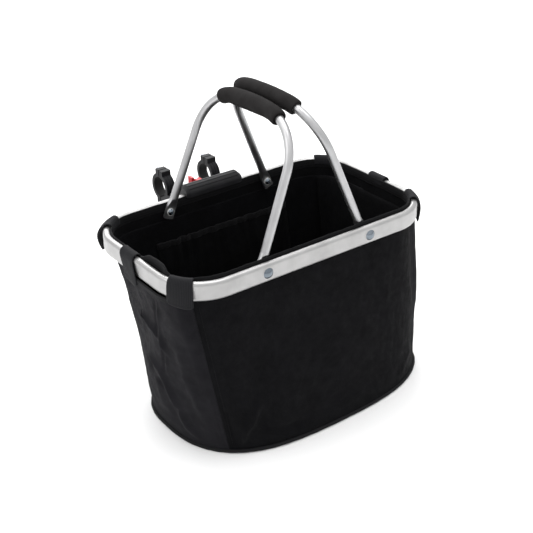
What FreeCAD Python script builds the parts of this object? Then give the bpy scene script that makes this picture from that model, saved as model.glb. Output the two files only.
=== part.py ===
import FreeCAD, Part
import math
import os

# A folding handlebar basket, in millimetres.
# +Z is up, +X runs along the basket's long side, +Y points back to the handlebar.
# The origin is on the floor, straight under the centre of the rim.

os.makedirs("parts", exist_ok=True)
V = FreeCAD.Vector
UP = V(0, 0, 1)
BACK = V(0, 1, 0)

# ---- driving dimensions -------------------------------------------------------------------
RIM_LENGTH = 340.0
RIM_DEPTH = 202.0
RIM_CORNER = 54.0
RIM_TALL = 21.5
RIM_THICK = 8.5
RIM_WALL = 1.2
RIM_TOP = 224.0

CLOTH = 1.4
BINDING = 2.4
HEM_PROUD = 2.4
HEM_THICK = 0.8
STRAP_WIDE = 26.0
STRAP_THICK = 1.5
FIT_GAP = 0.15

BASE_X = 20.0
BASE_Y = -8.0
BASE_HALF_LONG = 166.0
BASE_HALF_FRONT = 112.0
BASE_HALF_BACK = 99.5
BASE_ROUNDNESS = 2.76
BASE_PANEL = 1.2
BASE_BOARD = 3.0
PIPING = 4.4

PIVOT_X = 69.0
LEAN = 22.4
TUBE = 9.5
GRIP = 18.5
BAIL_FOOT = 87.3
BAIL_LEG_SLOPE = 2.7
BAIL_CORNER = 55.0
BAIL_CROWN = 310.0
BAIL_TALL = {"left": 153.5, "right": 160.5}
GRIP_FROM = -48.0
GRIP_TO = 56.0
LUG_THICK = 3.2
LUG_WIDE = 12.0
LUG_BELOW = 8.5
SHANK = 5.0
RUNNING_GAP = 0.05

ADAPTER_X = -4.4
CLAMP_GAP = 65.0
CLAMP_Y = 152.0
CLAMP_Z = 214.0
CLAMP_WIDE = 12.0
BAR_RADIUS = 12.7
SHIM_THICK = 1.2
CLAMP_WALL = 3.2
SPLIT = 1.6
EAR_TALL = 4.4
BOLT = 4.0

PLATE_HALF = 39.0
PLATE_BOTTOM = 118.0
PLATE_THICK = 7.0
CAP_RISE = 10.5
CAP_ROUND = 9.8
BODY_FRONT_GAP = 0.4
BODY_DEEP = 17.5
HUMP_DEEP = 12.5
HUMP_HALF = 14.0
BODY_LOW = 132.0
BODY_HIGH = 214.0

PLATE_SCREWS = (-31.0, 31.0)

# ---- places worked out from them ----------------------------------------------------------
RIM_X = RIM_LENGTH / 2
RIM_Y = RIM_DEPTH / 2
RIM_BOTTOM = RIM_TOP - RIM_TALL
RIM_MID = RIM_TOP - RIM_TALL / 2
CORNER_X = RIM_X - RIM_CORNER
CORNER_Y = RIM_Y - RIM_CORNER
INNER_Y = RIM_Y - RIM_THICK
BAG_TOP = RIM_BOTTOM - 0.6
BAG_LOW = PIPING + 0.2
HEM_TOP = RIM_TOP + HEM_PROUD
PLATE_Y = RIM_Y + FIT_GAP
PLATE_BACK = PLATE_Y + PLATE_THICK
BODY_Y = PLATE_BACK + BODY_FRONT_GAP
BODY_BACK = BODY_Y + BODY_DEEP


def write(name, shape):
    """Saves one sub-part."""
    if not shape.isValid():
        print("INVALID", name)
    shape.exportStep("parts/%s.step" % name)
    print("%-20s solids %d volume %.0f" % (name, len(shape.Solids), shape.Volume))


def several(shapes):
    """Separate solids kept in one node."""
    return Part.makeCompound(shapes)


def box(x0, x1, y0, y1, z0, z1):
    return Part.makeBox(x1 - x0, y1 - y0, z1 - z0, V(x0, y0, z0))


def rod(radius, start, end):
    way = end - start
    return Part.makeCylinder(radius, way.Length, start, way)


def arc(a, m, b):
    return Part.Arc(a, m, b).toShape()


def line(a, b):
    return Part.LineSegment(a, b).toShape()


def prism(points, way):
    """A polygon pushed along a vector."""
    return Part.Face(Part.makePolygon(points + [points[0]])).extrude(way)


# ---- outlines -----------------------------------------------------------------------------
# Each outline is eight stations around the basket, as arcs: front, front-right corner,
# right end, back-right corner, back, back-left corner, left end, front-left corner.
def rim_outline(inset):
    """Stations of the rim's rounded rectangle, set in by inset: start, middle and end points."""
    x = RIM_X - inset
    y = RIM_Y - inset
    r = RIM_CORNER - inset
    d = r * math.sqrt(0.5)
    cx = x - r
    cy = y - r
    quarter = [
        ((-cx, -y), (0, -y), (cx, -y)),
        ((cx, -y), (cx + d, -cy - d), (x, -cy)),
        ((x, -cy), (x, 0), (x, cy)),
        ((x, cy), (cx + d, cy + d), (cx, y)),
    ]
    turned = [tuple((-px, -py) for px, py in seg) for seg in quarter]
    return quarter + turned


def base_point(angle, inset):
    """A point of the base's rounded outline. The front bulges further than the back."""
    c = math.cos(math.radians(angle))
    s = math.sin(math.radians(angle))
    power = 2.0 / BASE_ROUNDNESS
    deep = BASE_HALF_FRONT if s < 0 else BASE_HALF_BACK
    x = math.copysign(abs(c) ** power, c) * (BASE_HALF_LONG - inset)
    y = math.copysign(abs(s) ** power, s) * (deep - inset)
    return (BASE_X + x, BASE_Y + y)


SIDE_SPAN = 35.0
END_SPAN = 25.0


def base_outline(inset):
    """The same eight stations on the base."""
    side = SIDE_SPAN
    end = END_SPAN
    stops = [
        -90 - side,
        -90 + side,
        -end,
        end,
        90 - side,
        90 + side,
        180 - end,
        180 + end,
        270 - side,
    ]
    segs = []
    for a, b in zip(stops, stops[1:]):
        m = (a + b) / 2
        segs.append(tuple(base_point(t, inset) for t in (a, m, b)))
    return segs


def station_edge(seg, z):
    a, m, b = (V(px, py, z) for px, py in seg)
    if abs((m - a).cross(b - a).Length) < 1e-6:
        return line(a, b)
    return arc(a, m, b)


def base_curve(inset, z):
    """The base's outline as one smooth closed curve."""
    points = [V(*base_point(7.5 + 15 * k, inset), z) for k in range(24)]
    curve = Part.BSplineCurve()
    curve.interpolate(Points=points, PeriodicFlag=True)
    return Part.Wire([curve.toShape()])


def ring_wire(segs, z):
    return Part.Wire([station_edge(s, z) for s in segs])


def strip_wire(outer, inner, picks, z):
    """A closed band between two outlines, over some of the stations."""
    edges = [station_edge(outer[i], z) for i in picks]
    back = [station_edge(inner[i][::-1], z) for i in reversed(picks)]
    first_out = V(*outer[picks[0]][0], z)
    last_out = V(*outer[picks[-1]][2], z)
    first_in = V(*inner[picks[0]][0], z)
    last_in = V(*inner[picks[-1]][2], z)
    return Part.Wire(edges + [line(last_out, last_in)] + back + [line(first_in, first_out)])


def strip(picks, sections):
    """A wall over some stations, ruled between sections of (outer, inner, z)."""
    wires = [strip_wire(outer, inner, picks, z) for outer, inner, z in sections]
    return Part.makeLoft(wires, True, True)


FRONT = [0]
RIGHT = [1, 2, 3]
REAR = [4]
LEFT = [5, 6, 7]


# ---- rim ----------------------------------------------------------------------------------
def oval_wire(thick, tall, shift=0.0, drop=0.0):
    """The flat oval of the rim tube, stood up across the front run at its middle."""
    y = -(RIM_Y - RIM_THICK / 2) - shift
    r = thick / 2
    low = RIM_MID - tall / 2 + r - drop
    high = RIM_MID + tall / 2 - r
    return Part.Wire(
        [
            line(V(0, y + r, low), V(0, y + r, high)),
            arc(V(0, y + r, high), V(0, y, high + r), V(0, y - r, high)),
            line(V(0, y - r, high), V(0, y - r, low)),
            arc(V(0, y - r, low), V(0, y, low - r), V(0, y + r, low)),
        ]
    )


def front_start_path(inset, z):
    """The rim's path, starting at the middle of the front run."""
    segs = rim_outline(inset)
    half = (segs[0][1], None, segs[0][2])
    first = line(V(*half[0], z), V(*half[2], z))
    last = line(V(*segs[0][0], z), V(*segs[0][1], z))
    return Part.Wire([first] + [station_edge(s, z) for s in segs[1:]] + [last])


def oval_ring(thick, tall):
    path = front_start_path(RIM_THICK / 2, RIM_MID)
    return path.makePipeShell([oval_wire(thick, tall)], True, False)


def pivot_places():
    """x and the side, -1 in front or +1 behind, of the four handle pivots."""
    return [(x, side) for x in (-PIVOT_X, PIVOT_X) for side in (-1, 1)]


def rim_frame():
    tube = oval_ring(RIM_THICK, RIM_TALL)
    bore = oval_ring(RIM_THICK - 2 * RIM_WALL, RIM_TALL - 2 * RIM_WALL)
    ring = tube.cut(bore)
    seam = box(-0.15, 0.15, 0, RIM_Y + 1, RIM_BOTTOM - 1, RIM_TOP + 1)
    ring = ring.cut(seam)
    for x, side in pivot_places():
        start = V(x, side * (INNER_Y - 2), RIM_MID)
        end = V(x, side * (RIM_Y + 2), RIM_MID)
        ring = ring.cut(rod(SHANK / 2 + RUNNING_GAP, start, end))
    for spot in PLATE_SCREWS:
        x = ADAPTER_X + spot
        ring = ring.cut(rod(2.05, V(x, RIM_Y - 3, RIM_MID), V(x, RIM_Y + 1, RIM_MID)))
    return ring


def rim_splice():
    """The sleeve inside the tube that bridges the rim's butt joint at the back."""
    inside = RIM_THICK - 2 * RIM_WALL - 2 * FIT_GAP
    high = RIM_TALL - 2 * RIM_WALL - 2 * FIT_GAP
    half = 20.0
    y = RIM_Y - RIM_THICK / 2
    r = inside / 2
    core = box(-half, half, y - r, y + r, RIM_MID - high / 2 + r, RIM_MID + high / 2 - r)
    for z in (RIM_MID - high / 2 + r, RIM_MID + high / 2 - r):
        core = core.fuse(rod(r, V(-half, y, z), V(half, y, z)))
    return core.removeSplitter()


# ---- handle pivots ------------------------------------------------------------------------
LUG_Y = BAIL_FOOT
WASHER = 0.8
OUTER_WASHER = 2.1
SCREW_HEAD_R = 3.9
WASHER_R = 4.4
SCREW_HEAD = 2.4
SHANK_END = LUG_Y - LUG_THICK / 2 - WASHER - 0.1


def dome(radius, tall, centre, way):
    """A rivet's low dome, flat on its seat."""
    ball = (radius * radius + tall * tall) / (2 * tall)
    sphere = Part.makeSphere(ball, centre - way * (ball - tall))
    return sphere.common(rod(radius, centre, centre + way * (tall + 1)))


def pivot_rivet(x, side):
    """A domed head outside the rim, with a shank through the rim, the cloth and the handle."""
    way = V(0, side, 0)
    seat = V(x, side * (RIM_Y + 0.05), RIM_MID)
    head = dome(6.0, 3.2, seat, way)
    shank = rod(SHANK / 2, V(x, side * SHANK_END, RIM_MID), seat)
    bore = rod(1.5, V(x, side * (SHANK_END - 1), RIM_MID), V(x, side * (SHANK_END + 9), RIM_MID))
    return head.fuse(shank).cut(bore)


def pivot_screw(x, side):
    """The inner screw: a round head with a hexagon socket, threaded into the rivet."""
    way = V(0, side, 0)
    seat = V(x, side * (SHANK_END - 0.1), RIM_MID)
    head = dome(SCREW_HEAD_R, SCREW_HEAD, seat, way * -1)
    stem = rod(1.45, seat, seat + way * 8)
    corners = []
    for k in range(6):
        a = math.radians(60 * k)
        corners.append(V(x + 1.7 * math.cos(a), seat.y - side * 3.0, RIM_MID + 1.7 * math.sin(a)))
    socket = prism(corners, way * 1.9)
    return head.fuse(stem).cut(socket)


def washer(x, side, near, thick):
    y = side * near
    ring = rod(WASHER_R, V(x, y, RIM_MID), V(x, y + side * thick, RIM_MID))
    return ring.cut(rod(SHANK / 2 + 0.1, V(x, y - side, RIM_MID), V(x, y + side * 4, RIM_MID)))


def pivot_washers():
    outer = LUG_Y + LUG_THICK / 2 + 0.05
    inner = SHANK_END + 0.02
    pair = ((outer, OUTER_WASHER), (inner, WASHER))
    return several([washer(x, s, n, t) for x, s in pivot_places() for n, t in pair])


# ---- bail handles -------------------------------------------------------------------------
def bail_geometry(tall):
    """Tangent points of a bail in its own plane: (y, height) for leg top, corner and crown."""
    a = math.radians(BAIL_LEG_SLOPE)
    u = (-math.sin(a), math.cos(a))
    n = (-math.cos(a), -math.sin(a))
    k = (0.0, tall - BAIL_CROWN)
    px = BAIL_FOOT + n[0] * BAIL_CORNER - k[0]
    py = n[1] * BAIL_CORNER - k[1]
    reach = BAIL_CROWN - BAIL_CORNER
    dot = px * u[0] + py * u[1]
    t = -dot + math.sqrt(dot * dot - (px * px + py * py - reach * reach))
    leg_top = (BAIL_FOOT + u[0] * t, u[1] * t)
    centre = (leg_top[0] + n[0] * BAIL_CORNER, leg_top[1] + n[1] * BAIL_CORNER)
    scale = BAIL_CROWN / reach
    shoulder = (k[0] + (centre[0] - k[0]) * scale, k[1] + (centre[1] - k[1]) * scale)
    return leg_top, centre, shoulder, k


def on_circle(centre, radius, y, sign):
    """The point of a circle, in the bail's plane, at a given y on its upper half."""
    return V(0, y, centre[1] + sign * math.sqrt(radius * radius - (y - centre[0]) ** 2))


def bail_edges(tall, y_from, y_to):
    """The bail's centre line between two y values above its legs, as tangent arcs."""
    leg_top, centre, shoulder, k = bail_geometry(tall)
    stops = [y_from, -shoulder[0], shoulder[0], y_to]
    edges = []
    for a, b in zip(stops, stops[1:]):
        m = (a + b) / 2
        points = []
        for y in (a, m, b):
            if a >= -shoulder[0] and b <= shoulder[0]:
                points.append(on_circle(k, BAIL_CROWN, y, 1))
            elif m < 0:
                points.append(on_circle((-centre[0], centre[1]), BAIL_CORNER, y, 1))
            else:
                points.append(on_circle(centre, BAIL_CORNER, y, 1))
        edges.append(arc(*points))
    return edges


LUG_HIGH = 6.0
ROUND_FROM = 16.0


def leg_point(height, side):
    y = BAIL_FOOT - height * math.tan(math.radians(BAIL_LEG_SLOPE))
    return V(0, side * y, height)


def bail_path(tall):
    leg_top, centre, shoulder, k = bail_geometry(tall)
    start_angle = math.radians(BAIL_LEG_SLOPE)
    end_angle = math.pi / 2 - math.asin(shoulder[0] / BAIL_CROWN)
    mid = (start_angle + end_angle) / 2
    edges = []
    for side in (-1, 1):
        foot = leg_point(ROUND_FROM, side)
        top = V(0, side * leg_top[0], leg_top[1])
        middle = V(
            0,
            side * (centre[0] + BAIL_CORNER * math.cos(mid)),
            centre[1] + BAIL_CORNER * math.sin(mid),
        )
        end = V(0, side * shoulder[0], shoulder[1])
        if side < 0:
            edges += [line(foot, top), arc(top, middle, end)]
            edges.append(arc(end, V(0, 0, tall), V(0, -end.y, end.z)))
        else:
            edges += [arc(end, middle, top), line(top, foot)]
    return Part.Wire(edges)


def round_section(radius, height, side):
    """The tube's circle as four arcs."""
    c = leg_point(height, side)
    q = radius * math.sqrt(0.5)
    p = [V(-q, c.y - q, height), V(q, c.y - q, height), V(q, c.y + q, height), V(-q, c.y + q, height)]
    m = [V(0, c.y - radius, height), V(radius, c.y, height)]
    m += [V(0, c.y + radius, height), V(-radius, c.y, height)]
    return Part.Wire([arc(p[i], m[i], p[(i + 1) % 4]) for i in range(4)])


def leg_end(side):
    """The tube's flattened end: an oblong lug, cut off square, that swells into the tube."""
    lug = box(
        -LUG_WIDE / 2,
        LUG_WIDE / 2,
        side * LUG_Y - LUG_THICK / 2,
        side * LUG_Y + LUG_THICK / 2,
        -LUG_BELOW,
        LUG_HIGH,
    )
    low_edges = [e for e in lug.Edges if e.BoundBox.ZMax < -LUG_BELOW + 0.1 and e.BoundBox.YLength > 1]
    lug = lug.makeFillet(1.5, low_edges)
    low = Part.Wire(
        Part.makePolygon(
            [
                V(sx * LUG_WIDE / 2, side * LUG_Y + sy * LUG_THICK / 2, LUG_HIGH)
                for sx, sy in ((-1, -1), (1, -1), (1, 1), (-1, 1), (-1, -1))
            ]
        )
    )
    high = round_section(TUBE / 2 - 0.04, ROUND_FROM + 1.5, side)
    swell = Part.makeLoft([low, high], True, True)
    return lug.fuse(swell)


def bail_tube(which):
    tall = BAIL_TALL[which]
    path = bail_path(tall)
    start = leg_point(ROUND_FROM, -1)
    way = path.Edges[0].tangentAt(path.Edges[0].FirstParameter)
    section = Part.Wire(Part.makeCircle(TUBE / 2, start, way))
    tube = path.makePipeShell([section], True, False)
    return tube


def place_bail(shape, which):
    """Leans a bail inwards about its pivots and puts it on the rim."""
    sign = 1 if which == "left" else -1
    shape = shape.copy()
    shape.rotate(V(0, 0, 0), BACK, sign * LEAN)
    shape.translate(V(-sign * PIVOT_X, 0, RIM_MID))
    return shape


def handle_tube(which):
    solid = bail_tube(which)
    for side in (-1, 1):
        end = leg_end(side)
        hole = rod(
            SHANK / 2 + RUNNING_GAP,
            V(0, side * (LUG_Y - 5), 0),
            V(0, side * (LUG_Y + 5), 0),
        )
        solid = solid.fuse(end.cut(hole))
    return place_bail(solid.removeSplitter(), which)


def foam_grip(which):
    tall = BAIL_TALL[which]
    edges = bail_edges(tall, GRIP_FROM, GRIP_TO)
    path = Part.Wire(edges)
    start = edges[0].valueAt(edges[0].FirstParameter)
    way = edges[0].tangentAt(edges[0].FirstParameter)
    outer = path.makePipeShell([Part.Wire(Part.makeCircle(GRIP / 2, start, way))], True, False)
    hole = TUBE / 2 + 0.05
    inner = path.makePipeShell([Part.Wire(Part.makeCircle(hole, start, way))], True, False)
    return place_bail(outer.cut(inner), which)


# ---- bag ----------------------------------------------------------------------------------
def inner_sections(gap, thick, z_low, z_high):
    """Sections of a cloth wall that hangs inside the rim and spreads to the base."""
    return [
        (base_outline(gap), base_outline(gap + thick), z_low),
        (rim_outline(RIM_THICK + 0.2), rim_outline(RIM_THICK + 0.2 + thick), z_high),
    ]


def upper_band(picks, z0, z1, thick):
    """The straight band of cloth against the inside of the rim."""
    outer = rim_outline(RIM_THICK + 0.2)
    inner = rim_outline(RIM_THICK + 0.2 + thick)
    return strip(picks, [(outer, inner, z0), (outer, inner, z1)])


def cloth_panel(picks):
    wall = strip(picks, inner_sections(0.4, CLOTH, BAG_LOW, BAG_TOP))
    band = upper_band(picks, BAG_TOP, RIM_TOP, HEM_THICK)
    panel = wall.fuse(band)
    for x, side in pivot_places():
        hole = rod(SHANK / 2 + 0.1, V(x, side * 80, RIM_MID), V(x, side * RIM_Y, RIM_MID))
        panel = panel.cut(hole)
    return panel.cut(under_cap())


END_LOW_GAP = -1.6
END_HIGH_GAP = -1.2


def end_panel(picks):
    """The outer end wall, from the base up to just under the rim, outside its lining."""
    sections = [
        (base_outline(END_LOW_GAP), base_outline(END_LOW_GAP + CLOTH), BAG_LOW),
        (rim_outline(END_HIGH_GAP), rim_outline(END_HIGH_GAP + CLOTH), BAG_TOP - BINDING),
    ]
    return strip(picks, sections)


def end_lining(picks):
    wall = strip(picks, inner_sections(0.4, 1.0, BAG_LOW, BAG_TOP))
    band = upper_band(picks, BAG_TOP, RIM_TOP, HEM_THICK)
    return wall.fuse(band)


def grip_edge(picks):
    """The bound upper edge of an end wall, under the rim."""
    outer = rim_outline(END_HIGH_GAP - 0.4)
    inner = rim_outline(END_HIGH_GAP + CLOTH + 0.4)
    low = BAG_TOP - BINDING + 0.05
    return strip(picks, [(outer, inner, low), (outer, inner, BAG_TOP)])


def under_cap():
    """The stretch of the back edge that the plate's hook covers and presses down."""
    half = PLATE_HALF + 0.6
    return box(ADAPTER_X - half, ADAPTER_X + half, 80, RIM_Y, RIM_TOP - 4.8, RIM_TOP + 20)


def hem_binding():
    """The folded tape round the mouth, just inside the rim and a little above it."""
    z0 = RIM_TOP + 0.05
    rise = HEM_PROUD - 0.05
    outer = Part.Face(ring_wire(rim_outline(RIM_THICK + 0.2), z0)).extrude(UP * rise)
    inner = Part.Face(ring_wire(rim_outline(RIM_THICK + 0.2 + HEM_THICK), z0)).extrude(UP * rise)
    return outer.cut(inner).cut(under_cap())


def strap_section(spare):
    """The closed wire of a strap over the front run: outside leg, round top, inside leg."""
    y_in = -(INNER_Y - 1.5)
    y_out = -(RIM_Y + 1.75 + spare)
    crest = HEM_TOP + 0.9
    low_turn = RIM_TOP - 4.0
    high_turn = HEM_TOP + 0.1
    foot_out = RIM_BOTTOM - 7.0
    foot_in = RIM_BOTTOM + 2.0
    t = STRAP_THICK
    mid = (y_in + y_out) / 2
    under = arc(V(0, y_out, low_turn), V(0, mid, crest), V(0, y_in, high_turn))
    over = arc(V(0, y_in + t, high_turn), V(0, mid, crest + t), V(0, y_out - t, low_turn))
    return Part.Wire(
        [
            line(V(0, y_out, foot_out), V(0, y_out, low_turn)),
            under,
            line(V(0, y_in, high_turn), V(0, y_in, foot_in)),
            line(V(0, y_in, foot_in), V(0, y_in + t, foot_in)),
            line(V(0, y_in + t, foot_in), V(0, y_in + t, high_turn)),
            over,
            line(V(0, y_out - t, low_turn), V(0, y_out - t, foot_out)),
            line(V(0, y_out - t, foot_out), V(0, y_out, foot_out)),
        ]
    )


def corner_strap(sx, sy, angle, spare):
    """A strap on a corner, centred angle degrees round from the end towards the side."""
    half = math.degrees(STRAP_WIDE / 2 / RIM_CORNER)
    face = Part.Face(strap_section(spare))
    face.translate(V(0, CORNER_Y, 0))
    face.rotate(V(0, 0, 0), UP, 90 - (angle + half))
    band = face.revolve(V(0, 0, 0), UP, 2 * half)
    band = band.mirror(V(0, 0, 0), V(0, 1, 0)) if sy > 0 else band
    band = band.mirror(V(0, 0, 0), V(1, 0, 0)) if sx < 0 else band
    band.translate(V(sx * CORNER_X, sy * CORNER_Y, 0))
    return band


def end_strap(sx, y, spare):
    """A strap on the straight run of an end."""
    face = Part.Face(strap_section(spare))
    face.translate(V(0, RIM_Y, 0))
    face.rotate(V(0, 0, 0), UP, 90 * sx)
    face.translate(V(sx * RIM_X, y - STRAP_WIDE / 2, 0))
    return face.extrude(V(0, STRAP_WIDE, 0))


POCKET_LEFT = -80.0
POCKET_RIGHT = 112.0
POCKET_LOW = 62.0
POCKET_HIGH = 172.0
POCKET_OFF = 3.0


def pocket_cloth(off, thick, z0, z1):
    """A strip of cloth parallel to the back wall, off inside it."""
    sections = [
        (base_outline(off), base_outline(off + thick), BAG_LOW),
        (rim_outline(RIM_THICK + off), rim_outline(RIM_THICK + off + thick), BAG_TOP),
    ]
    wall = strip(REAR, sections)
    return wall.common(box(POCKET_LEFT, POCKET_RIGHT, 0, RIM_Y, z0, z1))


def pocket_panel():
    return pocket_cloth(POCKET_OFF, 1.0, POCKET_LOW, POCKET_HIGH - 6.1)


def pocket_elastic():
    return pocket_cloth(POCKET_OFF - 0.5, 2.0, POCKET_HIGH - 6.0, POCKET_HIGH)


# ---- base ---------------------------------------------------------------------------------
def base_slab(inset, z0, z1):
    return Part.Face(base_curve(inset, z0)).extrude(UP * (z1 - z0))


def base_piping():
    """The corded edge round the base."""
    path = base_curve(0, PIPING / 2)
    first = path.Edges[0]
    start = first.valueAt(first.FirstParameter)
    way = first.tangentAt(first.FirstParameter)
    section = Part.Wire(Part.makeCircle(PIPING / 2, start, way))
    return path.makePipeShell([section], True, False)


# ---- mounting plate behind the rim --------------------------------------------------------
def cap_profile(x, inset):
    """The hook's outline at x: inner leg, two rounded shoulders and outer leg."""
    y_in = CAP_IN + inset * 0.4
    y_out = PLATE_BACK - inset
    top = RIM_TOP + CAP_RISE - inset
    radius = CAP_ROUND - inset
    d = radius * (1 - math.sqrt(0.5))
    return Part.Wire(
        [
            line(V(x, y_in, CAP_LOW), V(x, y_in, top - radius)),
            arc(V(x, y_in, top - radius), V(x, y_in + d, top - d), V(x, y_in + radius, top)),
            line(V(x, y_in + radius, top), V(x, y_out - radius, top)),
            arc(V(x, y_out - radius, top), V(x, y_out - d, top - d), V(x, y_out, top - radius)),
            line(V(x, y_out, top - radius), V(x, y_out, CAP_LOW)),
            line(V(x, y_out, CAP_LOW), V(x, y_in, CAP_LOW)),
        ]
    )


CAP_IN = 88.4
CAP_LOW = 221.5
CAP_ROOM_IN = INNER_Y - 1.45
CAP_ROOM_Z = 219.45
STANDOFF_Y = 94.6
GROOVE_ANGLES = (92.0, 118.0, 144.0)
GROOVE_R = 0.75


def mounting_plate():
    """The moulded plate behind the bag, with a ribbed hook over the back of the rim."""
    bevel = 4.0
    stops = [(-PLATE_HALF, bevel), (-PLATE_HALF + bevel, 0), (PLATE_HALF - bevel, 0), (PLATE_HALF, bevel)]
    hook = Part.makeLoft([cap_profile(x, inset) for x, inset in stops], True, True)
    slab = box(-PLATE_HALF, PLATE_HALF, PLATE_Y, PLATE_BACK, PLATE_BOTTOM, CAP_LOW + 1)
    plate = hook.fuse(slab)
    room_half = (RIM_Y + FIT_GAP - CAP_ROOM_IN) / 2
    room_mid = (RIM_Y + FIT_GAP + CAP_ROOM_IN) / 2
    far = PLATE_HALF + 5
    room = box(-far, far, CAP_ROOM_IN, RIM_Y + FIT_GAP, RIM_MID, CAP_ROOM_Z)
    room = room.fuse(rod(room_half, V(-far, room_mid, CAP_ROOM_Z), V(far, room_mid, CAP_ROOM_Z)))
    plate = plate.cut(room)
    for x in PLATE_SCREWS:
        plate = plate.cut(rod(2.2, V(x, RIM_Y - 1, RIM_MID), V(x, PLATE_BACK + 1, RIM_MID)))
        plate = plate.cut(rod(4.6, V(x, PLATE_BACK - 3.2, RIM_MID), V(x, PLATE_BACK + 1, RIM_MID)))
    for z in (PLATE_BOTTOM + 6, PLATE_BOTTOM + 46):
        plate = plate.fuse(box(-PLATE_HALF + 4, PLATE_HALF - 4, STANDOFF_Y, PLATE_Y + 0.5, z, z + 3))
    middle_y = (CAP_IN + PLATE_BACK) / 2
    middle_z = RIM_TOP + CAP_RISE - CAP_ROUND
    for angle in GROOVE_ANGLES:
        y = middle_y + CAP_ROUND * math.cos(math.radians(angle))
        z = middle_z + CAP_ROUND * math.sin(math.radians(angle))
        plate = plate.cut(rod(GROOVE_R, V(-far, y, z), V(far, y, z)))
    return plate.removeSplitter()


def plate_screw(x):
    """A cross-head screw through the plate into the back of the rim tube."""
    z = RIM_MID
    head_y = PLATE_BACK - 3.1
    head = rod(4.2, V(x, head_y, z), V(x, head_y + 2.6, z))
    stem = rod(2.0, V(x, RIM_Y - 5.5, z), V(x, head_y, z))
    slot = box(x - 3, x + 3, head_y + 1.6, head_y + 3, z - 0.5, z + 0.5)
    cross = box(x - 0.5, x + 0.5, head_y + 1.6, head_y + 3, z - 3, z + 3)
    return head.fuse(stem).cut(slot).cut(cross)


def hexagon(centre, across, way, length):
    """A hexagonal prism centred on an axis along Y."""
    r = across / math.sqrt(3)
    corners = []
    for k in range(6):
        a = math.radians(60 * k)
        corners.append(V(centre.x + r * math.cos(a), centre.y, centre.z + r * math.sin(a)))
    return prism(corners, way * length)


def plate_nut(x):
    """The nut inside the rim tube."""
    face_y = RIM_Y - RIM_WALL - 0.05
    nut = hexagon(V(x, face_y, RIM_MID), 7.0, V(0, -1, 0), 2.6)
    return nut.cut(rod(2.02, V(x, face_y - 5, RIM_MID), V(x, face_y + 1, RIM_MID)))


# ---- handlebar adapter --------------------------------------------------------------------
CLAMP_IN = BAR_RADIUS + SHIM_THICK
CLAMP_OUT = CLAMP_IN + CLAMP_WALL
EAR_HALF = 7.5
EAR_TOP = CLAMP_OUT + EAR_TALL
BOLT_Z = CLAMP_OUT + 1.1
RIB_XS = (-3.4, 0.0, 3.4)
RIB_DEEP = 0.6
INSERT_R = 2.7
HEAD_R = 3.3
INSERT_LONG = 6.0


def rib_groove(x):
    """A groove round the outside of a clamp, clear of its ears and of the arm."""
    a = V(x - 0.5, CLAMP_Y, CLAMP_Z)
    b = V(x + 0.5, CLAMP_Y, CLAMP_Z)
    ring = rod(CLAMP_OUT + 1, a, b).cut(rod(CLAMP_OUT - RIB_DEEP, a, b))
    front = box(x - 1, x + 1, CLAMP_Y - 30, CLAMP_Y - EAR_HALF - 0.3, CLAMP_Z - 5, CLAMP_Z + 30)
    back = box(x - 1, x + 1, CLAMP_Y + EAR_HALF + 0.3, CLAMP_Y + 30, CLAMP_Z - 30, CLAMP_Z + 30)
    return ring.common(front.fuse(back))


def clamp_blank(x, y0, y1):
    """One half of a clamp: half a ring with an ear above and below, between two y planes."""
    a = V(x - CLAMP_WIDE / 2, CLAMP_Y, CLAMP_Z)
    b = V(x + CLAMP_WIDE / 2, CLAMP_Y, CLAMP_Z)
    ring = rod(CLAMP_OUT, a, b)
    ears = box(
        x - CLAMP_WIDE / 2,
        x + CLAMP_WIDE / 2,
        CLAMP_Y - EAR_HALF,
        CLAMP_Y + EAR_HALF,
        CLAMP_Z - EAR_TOP,
        CLAMP_Z + EAR_TOP,
    )
    side = box(x - 20, x + 20, y0, y1, CLAMP_Z - 40, CLAMP_Z + 40)
    blank = ring.fuse(ears).common(side)
    for shift in RIB_XS:
        blank = blank.cut(rib_groove(x + shift))
    return blank


def clamp_bore(x):
    far = V(1, 0, 0) * 20
    c = V(x, CLAMP_Y, CLAMP_Z)
    return rod(CLAMP_IN, c - far, c + far)


def bolt_hole(x, sz):
    z = CLAMP_Z + sz * BOLT_Z
    return rod(BOLT / 2 + 0.15, V(x, CLAMP_Y - EAR_HALF + 0.4, z), V(x, CLAMP_Y + 30, z))


CLAMP_XS = (-CLAMP_GAP / 2, CLAMP_GAP / 2)


def clamp_cap(x):
    cap = clamp_blank(x, CLAMP_Y + SPLIT / 2, CLAMP_Y + 40)
    cap = cap.cut(clamp_bore(x))
    seat_y = CLAMP_Y + EAR_HALF
    for sz in (-1, 1):
        z = CLAMP_Z + sz * BOLT_Z
        cap = cap.cut(bolt_hole(x, sz))
        cap = cap.cut(rod(HEAD_R + 0.1, V(x, seat_y, z), V(x, seat_y + 9, z)))
    return cap.removeSplitter()


BUTTON_HALF = 7.6
BUTTON_LIP = 3.0
BUTTON_HIGH = 225.4
BUTTON_DIP = 220.6
BUTTON_END = 220.0
BUTTON_Y0 = BODY_BACK + 1.8
BUTTON_Y1 = BODY_BACK + 10.0
SPRING_LOW = 176.0
SPRING_R = 2.6
WELL_LOW = 175.5


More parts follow.
